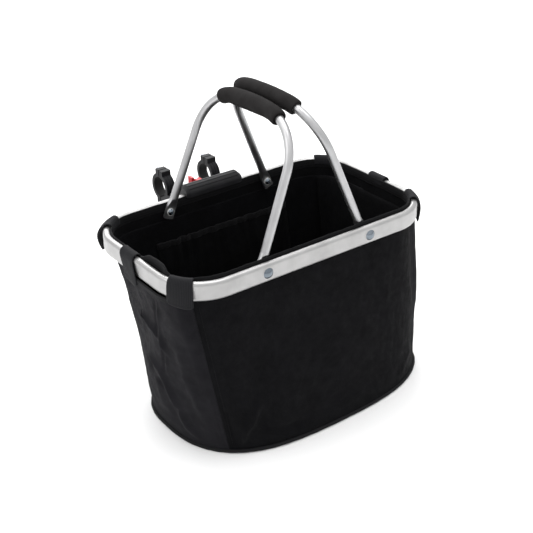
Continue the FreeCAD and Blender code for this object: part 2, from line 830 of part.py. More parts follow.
def adapter_body():
    """The quick-release block: it hangs on the plate and carries the two clamps' front halves."""
    block = box(-38, 38, BODY_Y, BODY_BACK, BODY_LOW, BODY_HIGH)
    rounded = [e for e in block.Edges if e.BoundBox.YMin > BODY_BACK - 0.01 or e.BoundBox.ZLength > 50]
    rounded = [e for e in rounded if e.BoundBox.YMin > BODY_Y + 1]
    body = block.makeFillet(4.0, rounded)
    hump = box(-HUMP_HALF, HUMP_HALF, BODY_BACK - 5, BODY_BACK + HUMP_DEEP, BODY_LOW + 26, BODY_HIGH)
    upright = [e for e in hump.Edges if e.BoundBox.ZLength > 50 and e.BoundBox.YMin > BODY_BACK]
    body = body.fuse(hump.makeFillet(3.0, upright))
    for x in CLAMP_XS:
        half = clamp_blank(x, CLAMP_Y - 40, CLAMP_Y - SPLIT / 2)
        arm = prism(
            [
                V(x - CLAMP_WIDE / 2, BODY_BACK - 6, CLAMP_Z - 5),
                V(x - CLAMP_WIDE / 2, CLAMP_Y - CLAMP_OUT + 2, CLAMP_Z - 5),
                V(x - CLAMP_WIDE / 2, CLAMP_Y - 5, CLAMP_Z - CLAMP_OUT + 1.5),
                V(x - CLAMP_WIDE / 2, BODY_BACK - 6, CLAMP_Z - 48),
            ],
            V(CLAMP_WIDE, 0, 0),
        )
        body = body.fuse(arm.fuse(half))
    for x in CLAMP_XS:
        body = body.cut(clamp_bore(x))
        for sz in (-1, 1):
            z = CLAMP_Z + sz * BOLT_Z
            body = body.cut(bolt_hole(x, sz))
            inner = CLAMP_Y - SPLIT / 2 - INSERT_LONG
            body = body.cut(rod(INSERT_R, V(x, inner, z), V(x, CLAMP_Y, z)))
    well = box(-BUTTON_HALF - 0.3, BUTTON_HALF + 0.3, BUTTON_Y0 - 0.3, BUTTON_Y1 + 0.3, 190, 230)
    middle_y = (BUTTON_Y0 + BUTTON_Y1) / 2
    shaft = rod(SPRING_R + 1.6, V(0, middle_y, WELL_LOW), V(0, middle_y, 195))
    slot = box(-8.2, 8.2, BODY_Y - 1, BUTTON_Y1 + 0.3, 184, 201.5)
    return body.cut(well).cut(shaft).cut(slot).removeSplitter()


def clamp_bolt(x, sz):
    """A socket-head bolt through both ears, its head at the rider's side."""
    z = CLAMP_Z + sz * BOLT_Z
    head_y = CLAMP_Y + EAR_HALF + 0.05
    head = rod(HEAD_R, V(x, head_y, z), V(x, head_y + 3.8, z))
    stem = rod(BOLT / 2, V(x, CLAMP_Y - EAR_HALF + 0.6, z), V(x, head_y, z))
    socket = hexagon(V(x, head_y + 4, z), 3.0, V(0, -1, 0), 2.6)
    return head.fuse(stem).cut(socket)


def clamp_insert(x, sz):
    """The threaded sleeve set into the front half's ear from the split."""
    z = CLAMP_Z + sz * BOLT_Z
    y1 = CLAMP_Y - SPLIT / 2
    sleeve = rod(INSERT_R - 0.02, V(x, y1 - INSERT_LONG + 0.05, z), V(x, y1, z))
    return sleeve.cut(rod(BOLT / 2 + 0.02, V(x, CLAMP_Y - 30, z), V(x, CLAMP_Y, z)))


def bar_shims():
    """Half rings of rubber that line each clamp."""
    made = []
    for x in CLAMP_XS:
        a = V(x - CLAMP_WIDE / 2, CLAMP_Y, CLAMP_Z)
        b = V(x + CLAMP_WIDE / 2, CLAMP_Y, CLAMP_Z)
        ring = rod(CLAMP_IN - 0.03, a, b).cut(rod(BAR_RADIUS, a, b))
        gap = box(x - 20, x + 20, CLAMP_Y - SPLIT / 2, CLAMP_Y + SPLIT / 2, 150, 260)
        made += ring.cut(gap).Solids
    return several(made)


# ---- release button -----------------------------------------------------------------------
def release_button():
    """A thumb button with one raised end and a scooped, falling top."""
    z0 = 199.05
    left = -BUTTON_HALF
    right = BUTTON_HALF
    scoop = [
        V(left + BUTTON_LIP, BUTTON_Y0, BUTTON_HIGH),
        V(left + 2 * BUTTON_LIP, BUTTON_Y0, BUTTON_DIP),
        V(right, BUTTON_Y0, BUTTON_END),
    ]
    across = V(0, BUTTON_Y1 - BUTTON_Y0, 0)
    outline = Part.Wire(
        [
            line(V(right, BUTTON_Y0, BUTTON_END), V(right, BUTTON_Y0, z0)),
            line(V(right, BUTTON_Y0, z0), V(left, BUTTON_Y0, z0)),
            line(V(left, BUTTON_Y0, z0), V(left, BUTTON_Y0, BUTTON_HIGH)),
            line(V(left, BUTTON_Y0, BUTTON_HIGH), scoop[0]),
            arc(*scoop),
        ]
    )
    return Part.Face(outline).extrude(across)


def latch_tongue():
    """The steel tongue under the button, with a nose that drops behind the plate."""
    mid = (BUTTON_Y0 + BUTTON_Y1) / 2
    stem = box(-7.4, 7.4, BODY_Y + 0.3, BUTTON_Y1, 196.0, 199.0)
    nose = box(-7.4, 7.4, BODY_Y + 0.3, BODY_Y + 1.8, 189.2, 196.0)
    seat = rod(1.6, V(0, mid, 194.0), V(0, mid, 196.0))
    return stem.fuse(nose).fuse(seat).removeSplitter()


def button_spring():
    """The coil spring that lifts the button."""
    mid = (BUTTON_Y0 + BUTTON_Y1) / 2
    wire = 0.4
    tall = 195.9 - SPRING_LOW - 2 * wire
    helix = Part.makeHelix(2.9, tall, SPRING_R)
    helix.translate(V(0, mid, SPRING_LOW + wire))
    start = V(SPRING_R, mid, SPRING_LOW + wire)
    section = Part.Wire(Part.makeCircle(wire, start, BACK))
    return Part.Wire(helix.Edges).makePipeShell([section], True, True)


# ---- write everything ---------------------------------------------------------------------
write("rim_frame", rim_frame())
write("rim_splice", rim_splice())
write("pivot_rivets", several([pivot_rivet(x, s) for x, s in pivot_places()]))
write("pivot_screws", several([pivot_screw(x, s) for x, s in pivot_places()]))
write("pivot_washers", pivot_washers())
for which in ("left", "right"):
    write("%s_handle_tube" % which, handle_tube(which))
    write("%s_grip" % which, foam_grip(which))
write("bag_front_panel", cloth_panel(FRONT))
write("bag_back_panel", cloth_panel(REAR))
for which, picks in (("left", LEFT), ("right", RIGHT)):
    write("bag_%s_end" % which, end_panel(picks))
    write("%s_end_lining" % which, end_lining(picks))
    write("%s_grip_edge" % which, grip_edge(picks))
write("hem_binding", hem_binding())
STRAPS = {
    "strap_front_left": corner_strap(-1, -1, 34.0, 0.0),
    "strap_back_left": corner_strap(-1, 1, 52.0, 1.6),
    "strap_front_right": corner_strap(1, -1, 28.0, 1.6),
    "strap_back_right": corner_strap(1, 1, 42.0, 0.0),
    "strap_end_left": end_strap(-1, 9.0, 0.0),
    "strap_end_right": end_strap(1, -7.0, 0.0),
}
for name, shape in STRAPS.items():
    write(name, shape)
write("pocket_panel", pocket_panel())
write("pocket_elastic", pocket_elastic())
write("base_panel", base_slab(PIPING / 2 + 0.05, 0, BASE_PANEL))
write("base_board", base_slab(PIPING / 2 + 0.6, BASE_PANEL, BASE_PANEL + BASE_BOARD))
write("base_piping", base_piping())
ADAPTER_PARTS = {
    "mounting_plate": mounting_plate(),
    "plate_screws": several([plate_screw(x) for x in PLATE_SCREWS]),
    "plate_nuts": several([plate_nut(x) for x in PLATE_SCREWS]),
    "adapter_body": adapter_body(),
    "left_clamp_cap": clamp_cap(CLAMP_XS[0]),
    "right_clamp_cap": clamp_cap(CLAMP_XS[1]),
    "clamp_bolts": several([clamp_bolt(x, sz) for x in CLAMP_XS for sz in (-1, 1)]),
    "clamp_inserts": several([clamp_insert(x, sz) for x in CLAMP_XS for sz in (-1, 1)]),
    "bar_shims": bar_shims(),
    "release_button": release_button(),
    "latch_tongue": latch_tongue(),
    "button_spring": button_spring(),
}
for name, shape in ADAPTER_PARTS.items():
    shape.translate(V(ADAPTER_X, 0, 0))
    write(name, shape)
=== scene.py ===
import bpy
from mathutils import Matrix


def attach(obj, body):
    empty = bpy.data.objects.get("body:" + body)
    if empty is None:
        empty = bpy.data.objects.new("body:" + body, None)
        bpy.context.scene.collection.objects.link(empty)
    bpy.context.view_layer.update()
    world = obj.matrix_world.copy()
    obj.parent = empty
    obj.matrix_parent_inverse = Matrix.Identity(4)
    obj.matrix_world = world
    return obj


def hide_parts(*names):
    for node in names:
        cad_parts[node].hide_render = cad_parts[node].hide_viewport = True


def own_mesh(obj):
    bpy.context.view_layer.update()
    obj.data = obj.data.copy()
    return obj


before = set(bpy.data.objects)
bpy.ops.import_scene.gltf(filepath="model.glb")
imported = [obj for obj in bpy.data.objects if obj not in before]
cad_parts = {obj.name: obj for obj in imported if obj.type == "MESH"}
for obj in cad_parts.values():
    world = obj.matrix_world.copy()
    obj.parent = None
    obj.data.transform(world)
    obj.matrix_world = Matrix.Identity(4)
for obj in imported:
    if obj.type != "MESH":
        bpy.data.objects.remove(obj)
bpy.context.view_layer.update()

import math

import bpy
import numpy as np
from mathutils import Matrix, Vector

# A folding handlebar basket. Lengths are in millimetres until a mesh is made.
# +Z is up, +X runs along the basket's long side, +Y points back to the handlebar.
MM = 0.001

RIM_X = 170.0
RIM_Y = 101.0
RIM_CORNER = 54.0
RIM_TOP = 224.0
RIM_TALL = 21.5
RIM_LOW = RIM_TOP - RIM_TALL
RIM_MID = RIM_TOP - RIM_TALL / 2

# The bag's walls: the heights of their top and bottom edges, and their thickness.
# The cloth's relief fades out over CORNER_FADE at each side, and a seam's groove runs SEAM_IN from it.
BAG_TOP = 201.9
WALL_FOOT = 3.4
CLOTH_THICK = 1.0
LINING_THICK = 0.7
PANEL_STEP = 1.9
PANEL_ROWS = 108
BELLY = 1.5
CORNER_FADE = 14.0
SEAM_IN = 5.5
SEAM_WIDE = 1.3
SEAM_DEEP = 0.35

# How far the left end wall sinks in at most, the right one's share of it, and where and how widely along u.
SINK = 8.0
RIGHT_SINK = 0.7
SINK_AT = {"left": 6.12, "right": 2.88}
SINK_WIDE = 0.5

# The mouth, from the rim's outer face inwards and from the floor up.
MOUTH_LOW, MOUTH_HIGH = 199.5, 225.2
MOUTH_OUTSIDE, MOUTH_INSIDE = 8.75, 9.6
HEM_MIDDLE = 9.2
HEM_TOP = 226.0
HEM_ARCH = 7.5
HEM_DROP = 3.0
HEM_STITCH_Z = 218.6
HEM_STITCH_IN = 10.35

# The bails swing past the hem further out than SWING_FROM along y. The tape thins over SWING_FADE.
SWING_FROM = 62.0
SWING_FADE = 22.0

# The pocket inside the back wall.
POCKET_X = (-80.0, 112.0)
POCKET_Z = (62.0, 172.0)

BASE_X, BASE_Y = 20.0, -8.0
BASE_HALF_LONG = 166.0
BASE_HALF_FRONT = 112.0
BASE_HALF_BACK = 99.5
BASE_POWER = 2.0 / 2.76
BASE_STOPS = (-125, -55, -25, 25, 55, 125, 155, 205, 235)
PIPING = 4.4
FLOOR_TOP = 5.6
FLOOR_UNDER = 0.45

PIVOT_X = 69.0
LEAN = math.radians(22.4)
BAIL_FOOT = 87.3
BAIL_SLOPE = math.radians(2.7)
BAIL_CORNER = 55.0
BAIL_CROWN = 310.0
BAIL_TALL = {"left": 153.5, "right": 160.5}
GRIP_FROM, GRIP_TO = -47.5, 53.0
GRIP_R = 8.8
GRIP_LIP = 1.6
TUBE_R = 4.75

STRAP_THICK = 1.4
STRAP_CREST = RIM_TOP + 3.3
STRAP_WAVE = 0.2
STRAP_CORNER = 3.0

# The coil under the button: its ends, its middle line and its wire.
SPRING_Z = (176.0, 195.9)
SPRING_XY = (-4.4, 131.95)
SPRING_R = 2.6
SPRING_WIRE = 0.4
SPRING_PITCH = 2.9

# The studio and the photograph's camera, in metres and degrees.
FLOOR_SIZE = 400
SKY_LOW = (0.78, 0.78, 0.79, 1)
SKY_HIGH = (1, 1, 1, 1)
SKY_STRENGTH = 1.15
CAMERA_AT = (-0.6178, -0.8475, 0.7226)
CAMERA_AZIMUTH, CAMERA_ELEVATION, CAMERA_ROLL = -36.20, 28.42, -1.20
CAMERA_LENS = 70.26


# ---- smooth random fields -----------------------------------------------------------------
def ripples(x, y, size, seed, count=14, aspect=1.0, turn=0.0):
    """A smooth random field between about -1 and 1, with bumps of one size, longer along one way."""
    rng = np.random.RandomState(seed)
    total = np.zeros_like(np.asarray(x, float))
    for _ in range(count):
        way = rng.uniform(0, math.pi)
        freq = 2 * math.pi / size * rng.uniform(0.6, 1.5)
        phase = rng.uniform(0, 2 * math.pi)
        a = freq * math.cos(way)
        b = freq * math.sin(way) / aspect
        ca, sa = math.cos(turn), math.sin(turn)
        total += np.cos((a * ca - b * sa) * x + (a * sa + b * ca) * y + phase)
    return total / math.sqrt(count) * 0.7


def smooth(t):
    t = np.clip(t, 0.0, 1.0)
    return t * t * (3 - 2 * t)


def fold(x, y, points, width, depth, fade=0.25):
    """A ridge (or a groove, if depth is below 0) along a line of points, fading at both ends."""
    best = np.full(np.shape(x), 1e9)
    along = np.zeros(np.shape(x))
    lengths = [math.dist(p, q) for p, q in zip(points, points[1:])]
    total = sum(lengths)
    done = 0.0
    for (px, py), (qx, qy), length in zip(points, points[1:], lengths):
        dx, dy = (qx - px) / length, (qy - py) / length
        t = np.clip((x - px) * dx + (y - py) * dy, 0, length)
        d = np.hypot(x - px - t * dx, y - py - t * dy)
        near = d < best
        along = np.where(near, (done + t) / total, along)
        best = np.minimum(best, d)
        done += length
    ends = smooth(along / fade) * smooth((1 - along) / fade)
    return depth * np.exp(-((best / width) ** 2)) * ends


# ---- outlines of the rim and the base -----------------------------------------------------
def rim_at(u, inset=0.0):
    """Points of the rim's outline, inset from its outer face.

    u runs 0 to 8: front, corner, right end, corner, back, corner, left end, corner.
    """
    u = np.mod(np.asarray(u, float), 8.0)
    x, y, r = RIM_X - inset, RIM_Y - inset, RIM_CORNER - inset
    cx, cy = x - r, y - r
    turned = np.where(u >= 4, -1.0, 1.0)
    u = np.where(u >= 4, u - 4, u)
    t = u - np.floor(u)
    k = np.floor(u)
    bend = (t - 1) * math.pi / 2
    last = bend + math.pi / 2
    which = [k == 0, k == 1, k == 2]
    px = np.select(which, [-cx + 2 * cx * t, cx + r * np.cos(bend), x + 0 * t], cx + r * np.cos(last))
    py = np.select(which, [-y + 0 * t, -cy + r * np.sin(bend), -cy + 2 * cy * t], cy + r * np.sin(last))
    return px * turned, py * turned


def from_rim(u, gap):
    """Points at a distance in from the rim's outer face. The distance can differ along u."""
    x, y = rim_at(u)
    x_in, y_in = rim_at(u, 1.0)
    return x + (x_in - x) * gap, y + (y_in - y) * gap


def base_at(u, inset=0.0):
    """Points of the base's outline at the same stations."""
    u = np.mod(np.asarray(u, float), 8.0)
    k = np.floor(u).astype(int)
    stops = np.array(BASE_STOPS, float)
    angle = np.radians(stops[k] + (stops[k + 1] - stops[k]) * (u - k))
    c, s = np.cos(angle), np.sin(angle)
    deep = np.where(s < 0, BASE_HALF_FRONT, BASE_HALF_BACK) - inset
    px = BASE_X + np.sign(c) * np.abs(c) ** BASE_POWER * (BASE_HALF_LONG - inset)
    py = BASE_Y + np.sign(s) * np.abs(s) ** BASE_POWER * deep
    return px, py


def even_stations(u0, u1, step):
    """Values of u between u0 and u1, about step millimetres apart along the rim, and the run to each."""
    fine = np.linspace(u0, u1, 1600)
    x, y = rim_at(fine)
    run = np.concatenate([[0], np.cumsum(np.hypot(np.diff(x), np.diff(y)))])
    count = max(4, int(round(run[-1] / step)) + 1)
    return np.interp(np.linspace(0, run[-1], count), run, fine), np.linspace(0, run[-1], count)


# ---- meshes -------------------------------------------------------------------------------
def make(name, verts, faces, body, material, uv=None):
    """A smooth-shaded mesh that rides on a body. verts and uv are in millimetres."""
    mesh = bpy.data.meshes.new(name)
    mesh.from_pydata((np.asarray(verts, float) * MM).tolist(), [], faces)
    mesh.update()
    obj = bpy.data.objects.new(name, mesh)
    bpy.context.collection.objects.link(obj)
    mesh.materials.append(material)
    mesh.polygons.foreach_set("use_smooth", [True] * len(mesh.polygons))
    if uv is not None:
        layer = mesh.uv_layers.new(name="cloth")
        index = np.zeros(len(mesh.loops), int)
        mesh.loops.foreach_get("vertex_index", index)
        layer.data.foreach_set("uv", (np.asarray(uv, float) * MM)[index].ravel())
    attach(obj, body)
    return obj


def grid_faces(n, m, start=0, flip=False, wrap=False):
    """Quads between the points of an n by m grid. wrap joins the last row to the first."""
    faces = []
    for i in range(n if wrap else n - 1):
        for j in range(m - 1):
            a = start + i * m + j
            b = start + ((i + 1) % n) * m + j
            quad = (a, b, b + 1, a + 1)
            faces.append(quad[::-1] if flip else quad)
    return faces


def grid_normals(p, wrap=False):
    """Outward normals of a grid of points of shape (n, m, 3)."""
    if wrap:
        du = np.roll(p, -1, 0) - np.roll(p, 1, 0)
    else:
        du = np.gradient(p, axis=0)
    dv = np.gradient(p, axis=1)
    n = np.cross(du, dv)
    return n / np.maximum(np.linalg.norm(n, axis=2, keepdims=True), 1e-9)


def shell(name, outer, inner, body, material, run, rise, wrap=False):
    """A closed sheet between two grids of points, with its four edges closed."""
    n, m, _ = outer.shape
    verts = np.concatenate([outer.reshape(-1, 3), inner.reshape(-1, 3)])
    second = n * m
    faces = grid_faces(n, m, 0, False, wrap) + grid_faces(n, m, second, True, wrap)
    for i in range(n if wrap else n - 1):
        k = (i + 1) % n
        a, b = i * m, k * m
        faces.append((a, a + second, b + second, b))
        a, b = i * m + m - 1, k * m + m - 1
        faces.append((b, b + second, a + second, a))
    if not wrap:
        for j in range(m - 1):
            faces.append((j + 1, j + 1 + second, j + second, j))
            a = (n - 1) * m + j
            faces.append((a, a + second, a + 1 + second, a + 1))
    uu, vv = np.meshgrid(run, rise, indexing="ij")
    uv = np.stack([uu.ravel(), vv.ravel()], 1)
    return make(name, verts, faces, body, material, np.concatenate([uv, uv]))


def sheet_from(name, outer, thick, body, material, run, rise):
    """A sheet of even thickness behind a grid of points."""
    return shell(name, outer, outer - grid_normals(outer) * thick, body, material, run, rise)


def sweep(name, path, ring, body, material, closed=False):
    """Sweeps closed rings along a path, keeping them upright. ring(i) gives the 2-D points at station i."""
    path = np.asarray(path, float)
    n = len(path)
    if closed:
        tangent = np.roll(path, -1, 0) - np.roll(path, 1, 0)
    else:
        tangent = np.gradient(path, axis=0)
    tangent /= np.linalg.norm(tangent, axis=1, keepdims=True)
    side = np.cross([0.0, 0.0, 1.0], tangent)
    side /= np.linalg.norm(side, axis=1, keepdims=True)
    other = np.cross(tangent, side)
    rings = []
    for i in range(n):
        pts = np.asarray(ring(i), float)
        rings.append(path[i] + pts[:, :1] * side[i] + pts[:, 1:2] * other[i])
    m = len(rings[0])
    verts = np.concatenate(rings)
    faces = []
    for i in range(n if closed else n - 1):
        for j in range(m):
            a, b = i * m + j, i * m + (j + 1) % m
            c, d = ((i + 1) % n) * m + (j + 1) % m, ((i + 1) % n) * m + j
            faces.append((a, b, c, d))
    if not closed:
        faces.append(tuple(range(m))[::-1])
        faces.append(tuple((n - 1) * m + j for j in range(m)))
    step = np.concatenate([[0], np.cumsum(np.linalg.norm(np.diff(path, axis=0), axis=1))])
    reach = np.max(np.linalg.norm(np.asarray(ring(0)), axis=1))
    girth = np.linspace(0, 1, m, endpoint=False) * 2 * math.pi * reach
    uu, vv = np.meshgrid(step, girth, indexing="ij")
    return make(name, verts, faces, body, material, np.stack([uu.ravel(), vv.ravel()], 1))


def round_ring(radius, count=20):
    """A circle as 2-D points."""
    a = np.linspace(0, 2 * math.pi, count, endpoint=False)
    return np.stack([radius * np.cos(a), radius * np.sin(a)], 1)


def rounded_box(half_a, half_b, r, per=4):
    """A rounded rectangle as 2-D points, anticlockwise."""
    r = min(r, half_a * 0.99, half_b * 0.99)
    pts = []
    for cx, cy, start in ((1, 1, 0), (-1, 1, 90), (-1, -1, 180), (1, -1, 270)):
        for k in range(per + 1):
            a = math.radians(start + 90 * k / per)
            pts.append((cx * (half_a - r) + r * math.cos(a), cy * (half_b - r) + r * math.sin(a)))
    return np.array(pts)


def fold_up(obj):
    """Gives a piece of the bag a mesh of its own."""
    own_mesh(obj)


# ---- materials ----------------------------------------------------------------------------
class Mat:
    """A node material being built."""

    def __init__(self, name, colour, rough=0.6, metal=0.0, **inputs):
        self.mat = bpy.data.materials.new(name)
        self.mat.use_nodes = True
        self.tree = self.mat.node_tree
        self.bsdf = self.tree.nodes["Principled BSDF"]
        self.bsdf.inputs["Base Color"].default_value = (*colour, 1)
        self.bsdf.inputs["Roughness"].default_value = rough
        self.bsdf.inputs["Metallic"].default_value = metal
        for key, value in inputs.items():
            self.bsdf.inputs[key.replace("_", " ")].default_value = value

    def node(self, kind, **values):
        n = self.tree.nodes.new(kind)
        for key, value in values.items():
            if key in n.inputs:
                n.inputs[key].default_value = value
            else:
                setattr(n, key, value)
        return n

    def link(self, a, b):
        self.tree.links.new(a, b)

    def coords(self, kind, scale):
        c = self.node("ShaderNodeTexCoord")
        m = self.node("ShaderNodeMapping")
        m.inputs["Scale"].default_value = scale
        self.link(c.outputs[kind], m.inputs["Vector"])
        return m.outputs["Vector"]

    def noise(self, vector, scale, detail=3.0, rough=0.5):
        n = self.node("ShaderNodeTexNoise", Scale=scale, Detail=detail, Roughness=rough)
        self.link(vector, n.inputs["Vector"])
        return n.outputs["Fac"]

    def wave(self, vector, scale, way, distortion):
        n = self.node("ShaderNodeTexWave", Scale=scale, Distortion=distortion)
        n.wave_type = "BANDS"
        n.bands_direction = way
        n.wave_profile = "SIN"
        self.link(vector, n.inputs["Vector"])
        return n.outputs["Fac"]

    def math(self, how, a, b):
        n = self.node("ShaderNodeMath", operation=how)
        for i, value in enumerate((a, b)):
            if isinstance(value, (int, float)):
                n.inputs[i].default_value = value
            else:
                self.link(value, n.inputs[i])
        return n.outputs[0]

    def ramp(self, value, low, high, at):
        n = self.node("ShaderNodeValToRGB")
        n.color_ramp.elements[0].position = at[0]
        n.color_ramp.elements[1].position = at[1]
        n.color_ramp.elements[0].color = (*low, 1)
        n.color_ramp.elements[1].color = (*high, 1)
        self.link(value, n.inputs["Fac"])
        return n.outputs["Color"]

    def colour(self, value, low, high, at=(0.3, 0.7)):
        self.link(self.ramp(value, low, high, at), self.bsdf.inputs["Base Color"])
        return self

    def roughness(self, value, low, high, at=(0.3, 0.7)):
        self.link(self.ramp(value, (low,) * 3, (high,) * 3, at), self.bsdf.inputs["Roughness"])
        return self

    def bump(self, *layers):
        """Each layer is (height output, distance in mm)."""
        before = None
        for value, deep in layers:
            n = self.node("ShaderNodeBump", Strength=1.0, Distance=deep * MM)
            self.link(value, n.inputs["Height"])
            if before is not None:
                self.link(before, n.inputs["Normal"])
            before = n.outputs["Normal"]
        self.link(before, self.bsdf.inputs["Normal"])
        return self


def cloth(name, dark, light, thread=0.55, deep=0.16, rough=0.75, sheen=0.25, crinkle=0.5):
    """Plain woven polyester: threads both ways, with slubs, creases and a slight sheen."""
    m = Mat(name, dark, rough, Sheen_Weight=sheen, Sheen_Roughness=0.45, Specular_IOR_Level=0.045)
    uv = m.coords("UV", (1 / MM, 1 / MM, 1 / MM))
    warp = m.wave(uv, 0.5 / thread * 0.32, "X", 0.6)
    weft = m.wave(uv, 0.5 / thread * 0.32, "Y", 0.6)
    weave = m.math("MULTIPLY", warp, weft)
    slub = m.noise(uv, 0.035, 6.0, 0.65)
    fine = m.noise(uv, 0.9, 2.0)
    creases = m.noise(uv, 0.11, 5.0, 0.55)
    mixed = m.math("ADD", m.math("MULTIPLY", slub, 0.7), m.math("MULTIPLY", fine, 0.3))
    m.colour(mixed, dark, light, (0.38, 0.62))
    m.roughness(creases, rough - 0.12, rough + 0.1)
    m.bump((creases, crinkle), (fine, 0.12), (weave, deep))
    return m.mat


def webbing(name, dark, light):
    """Woven tape: ribs across, rows of thread along, and a tight edge."""
    m = Mat(name, dark, 0.72, Sheen_Weight=0.03, Sheen_Roughness=0.4, Specular_IOR_Level=0.12)
    uv = m.coords("UV", (1 / MM, 1 / MM, 1 / MM))
    ribs = m.wave(uv, 0.19, "Y", 0.25)
    rows = m.wave(uv, 0.34, "X", 0.5)
    weave = m.math("MULTIPLY", ribs, m.math("ADD", m.math("MULTIPLY", rows, 0.4), 0.6))
    fuzz = m.noise(uv, 0.7, 3.0)
    mixed = m.math("ADD", m.math("MULTIPLY", weave, 0.6), m.math("MULTIPLY", fuzz, 0.4))
    m.colour(mixed, dark, light, (0.2, 0.8))
    m.bump((fuzz, 0.10), (weave, 0.12))
    return m.mat


def metal(name, dark, light, rough, along=(900.0, 40.0, 40.0), bump=0.012):
    """Drawn aluminium: fine lines along it, soft cloudy roughness and small handling marks."""
    m = Mat(name, light, rough, 1.0)
    vec = m.coords("Object", along)
    lines = m.noise(vec, 1.0, 4.0, 0.6)
    plain = m.coords("Object", (1.0, 1.0, 1.0))
    cloud = m.noise(plain, 55.0, 4.0)
    marks = m.noise(plain, 420.0, 6.0, 0.7)
    m.colour(cloud, dark, light)
    worn = m.math("ADD", m.math("MULTIPLY", lines, 0.6), m.math("MULTIPLY", marks, 0.4))
    m.roughness(worn, rough - 0.07, rough + 0.08)
    m.bump((lines, bump), (marks, 0.003))
    return m.mat


def plastic(name, dark, light, rough=0.5, grain=900.0, deep=0.03, gloss=0.4):
    """Moulded plastic with a fine spark-eroded grain."""
    m = Mat(name, dark, rough, Specular_IOR_Level=gloss)
    vec = m.coords("Object", (1.0, 1.0, 1.0))
    fine = m.noise(vec, grain, 4.0, 0.6)
    cloud = m.noise(vec, 60.0, 3.0)
    m.colour(cloud, dark, light)
    m.roughness(fine, rough - 0.08, rough + 0.1)
    m.bump((fine, deep))
    return m.mat


EVEN = (300.0, 300.0, 300.0)
RIM_METAL = metal("rim_aluminium", (0.365, 0.362, 0.36), (0.435, 0.432, 0.43), 0.40)
TUBE_METAL = metal("tube_aluminium", (0.42, 0.42, 0.425), (0.50, 0.50, 0.505), 0.38, (60.0, 700.0, 60.0), 0.006)
STEEL = metal("plated_steel", (0.13, 0.155, 0.18), (0.21, 0.24, 0.27), 0.20, EVEN, 0.004)
ZINC = metal("zinc_plated", (0.30, 0.31, 0.33), (0.44, 0.45, 0.47), 0.34, EVEN)
NYLON = plastic("nylon", (0.62, 0.62, 0.60), (0.72, 0.72, 0.70), 0.45)
CLOTH = cloth("cloth_front", (0.0030, 0.0030, 0.0035), (0.0050, 0.0050, 0.0058), sheen=0.01)
# The end walls' cloth is the front's cloth made two to three times lighter: painted light, for the light that falls
# on the ends from the left and from behind.
CLOTH_SIDE_PAINTED_LIGHT = cloth("cloth_side", (0.0080, 0.0077, 0.0092), (0.0125, 0.0121, 0.0142), sheen=0.02)
LINING = cloth(
    "cloth_lining", (0.0030, 0.0030, 0.0034), (0.0055, 0.0055, 0.006),
    thread=0.4, deep=0.08, rough=0.85, sheen=0.01, crinkle=0.35,
)
BINDING = webbing("binding_tape", (0.005, 0.005, 0.0055), (0.011, 0.011, 0.012))
ELASTIC = webbing("pocket_elastic_tape", (0.004, 0.004, 0.0045), (0.008, 0.008, 0.009))
THREAD = plastic(
    "sewing_thread", (0.0045, 0.0045, 0.005), (0.008, 0.008, 0.009), 0.6, grain=4000.0, deep=0.02, gloss=0.12
)
WEBBING = webbing("strap_webbing", (0.007, 0.007, 0.008), (0.014, 0.014, 0.016))
FOAM = plastic("grip_foam", (0.011, 0.010, 0.010), (0.018, 0.017, 0.017), 0.85, grain=1500.0, deep=0.10, gloss=0.10)
BOARD = plastic("base_board", (0.010, 0.010, 0.010), (0.016, 0.016, 0.016), 0.6)
BLACK = plastic("black_plastic", (0.009, 0.009, 0.010), (0.015, 0.015, 0.017), 0.5, 900.0, 0.03, 0.25)
CLAMP = plastic("clamp_plastic", (0.007, 0.007, 0.008), (0.013, 0.013, 0.015), 0.5, 900.0, 0.03, 0.16)
RUBBER = plastic("clamp_rubber", (0.006, 0.006, 0.006), (0.010, 0.010, 0.010), 0.7)
RED = plastic("button_red", (0.50, 0.006, 0.014), (0.62, 0.010, 0.022), 0.30, 700.0, 0.015)
NODE_MATERIALS = {
    "rim_frame": RIM_METAL, "rim_splice": RIM_METAL, "pivot_rivets": STEEL, "pivot_screws": STEEL,
    "pivot_washers": NYLON, "mounting_plate": BLACK, "plate_screws": ZINC, "plate_nuts": ZINC,
    "base_board": BOARD, "left_handle_tube": TUBE_METAL, "right_handle_tube": TUBE_METAL,
    "adapter_body": CLAMP, "left_clamp_cap": CLAMP, "right_clamp_cap": CLAMP, "clamp_bolts": ZINC,
    "clamp_inserts": ZINC, "bar_shims": RUBBER, "release_button": RED, "latch_tongue": ZINC,
    "button_spring": ZINC,
}
for node, material in NODE_MATERIALS.items():
    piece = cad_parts[node]
    piece.data.materials.clear()
    piece.data.materials.append(material)


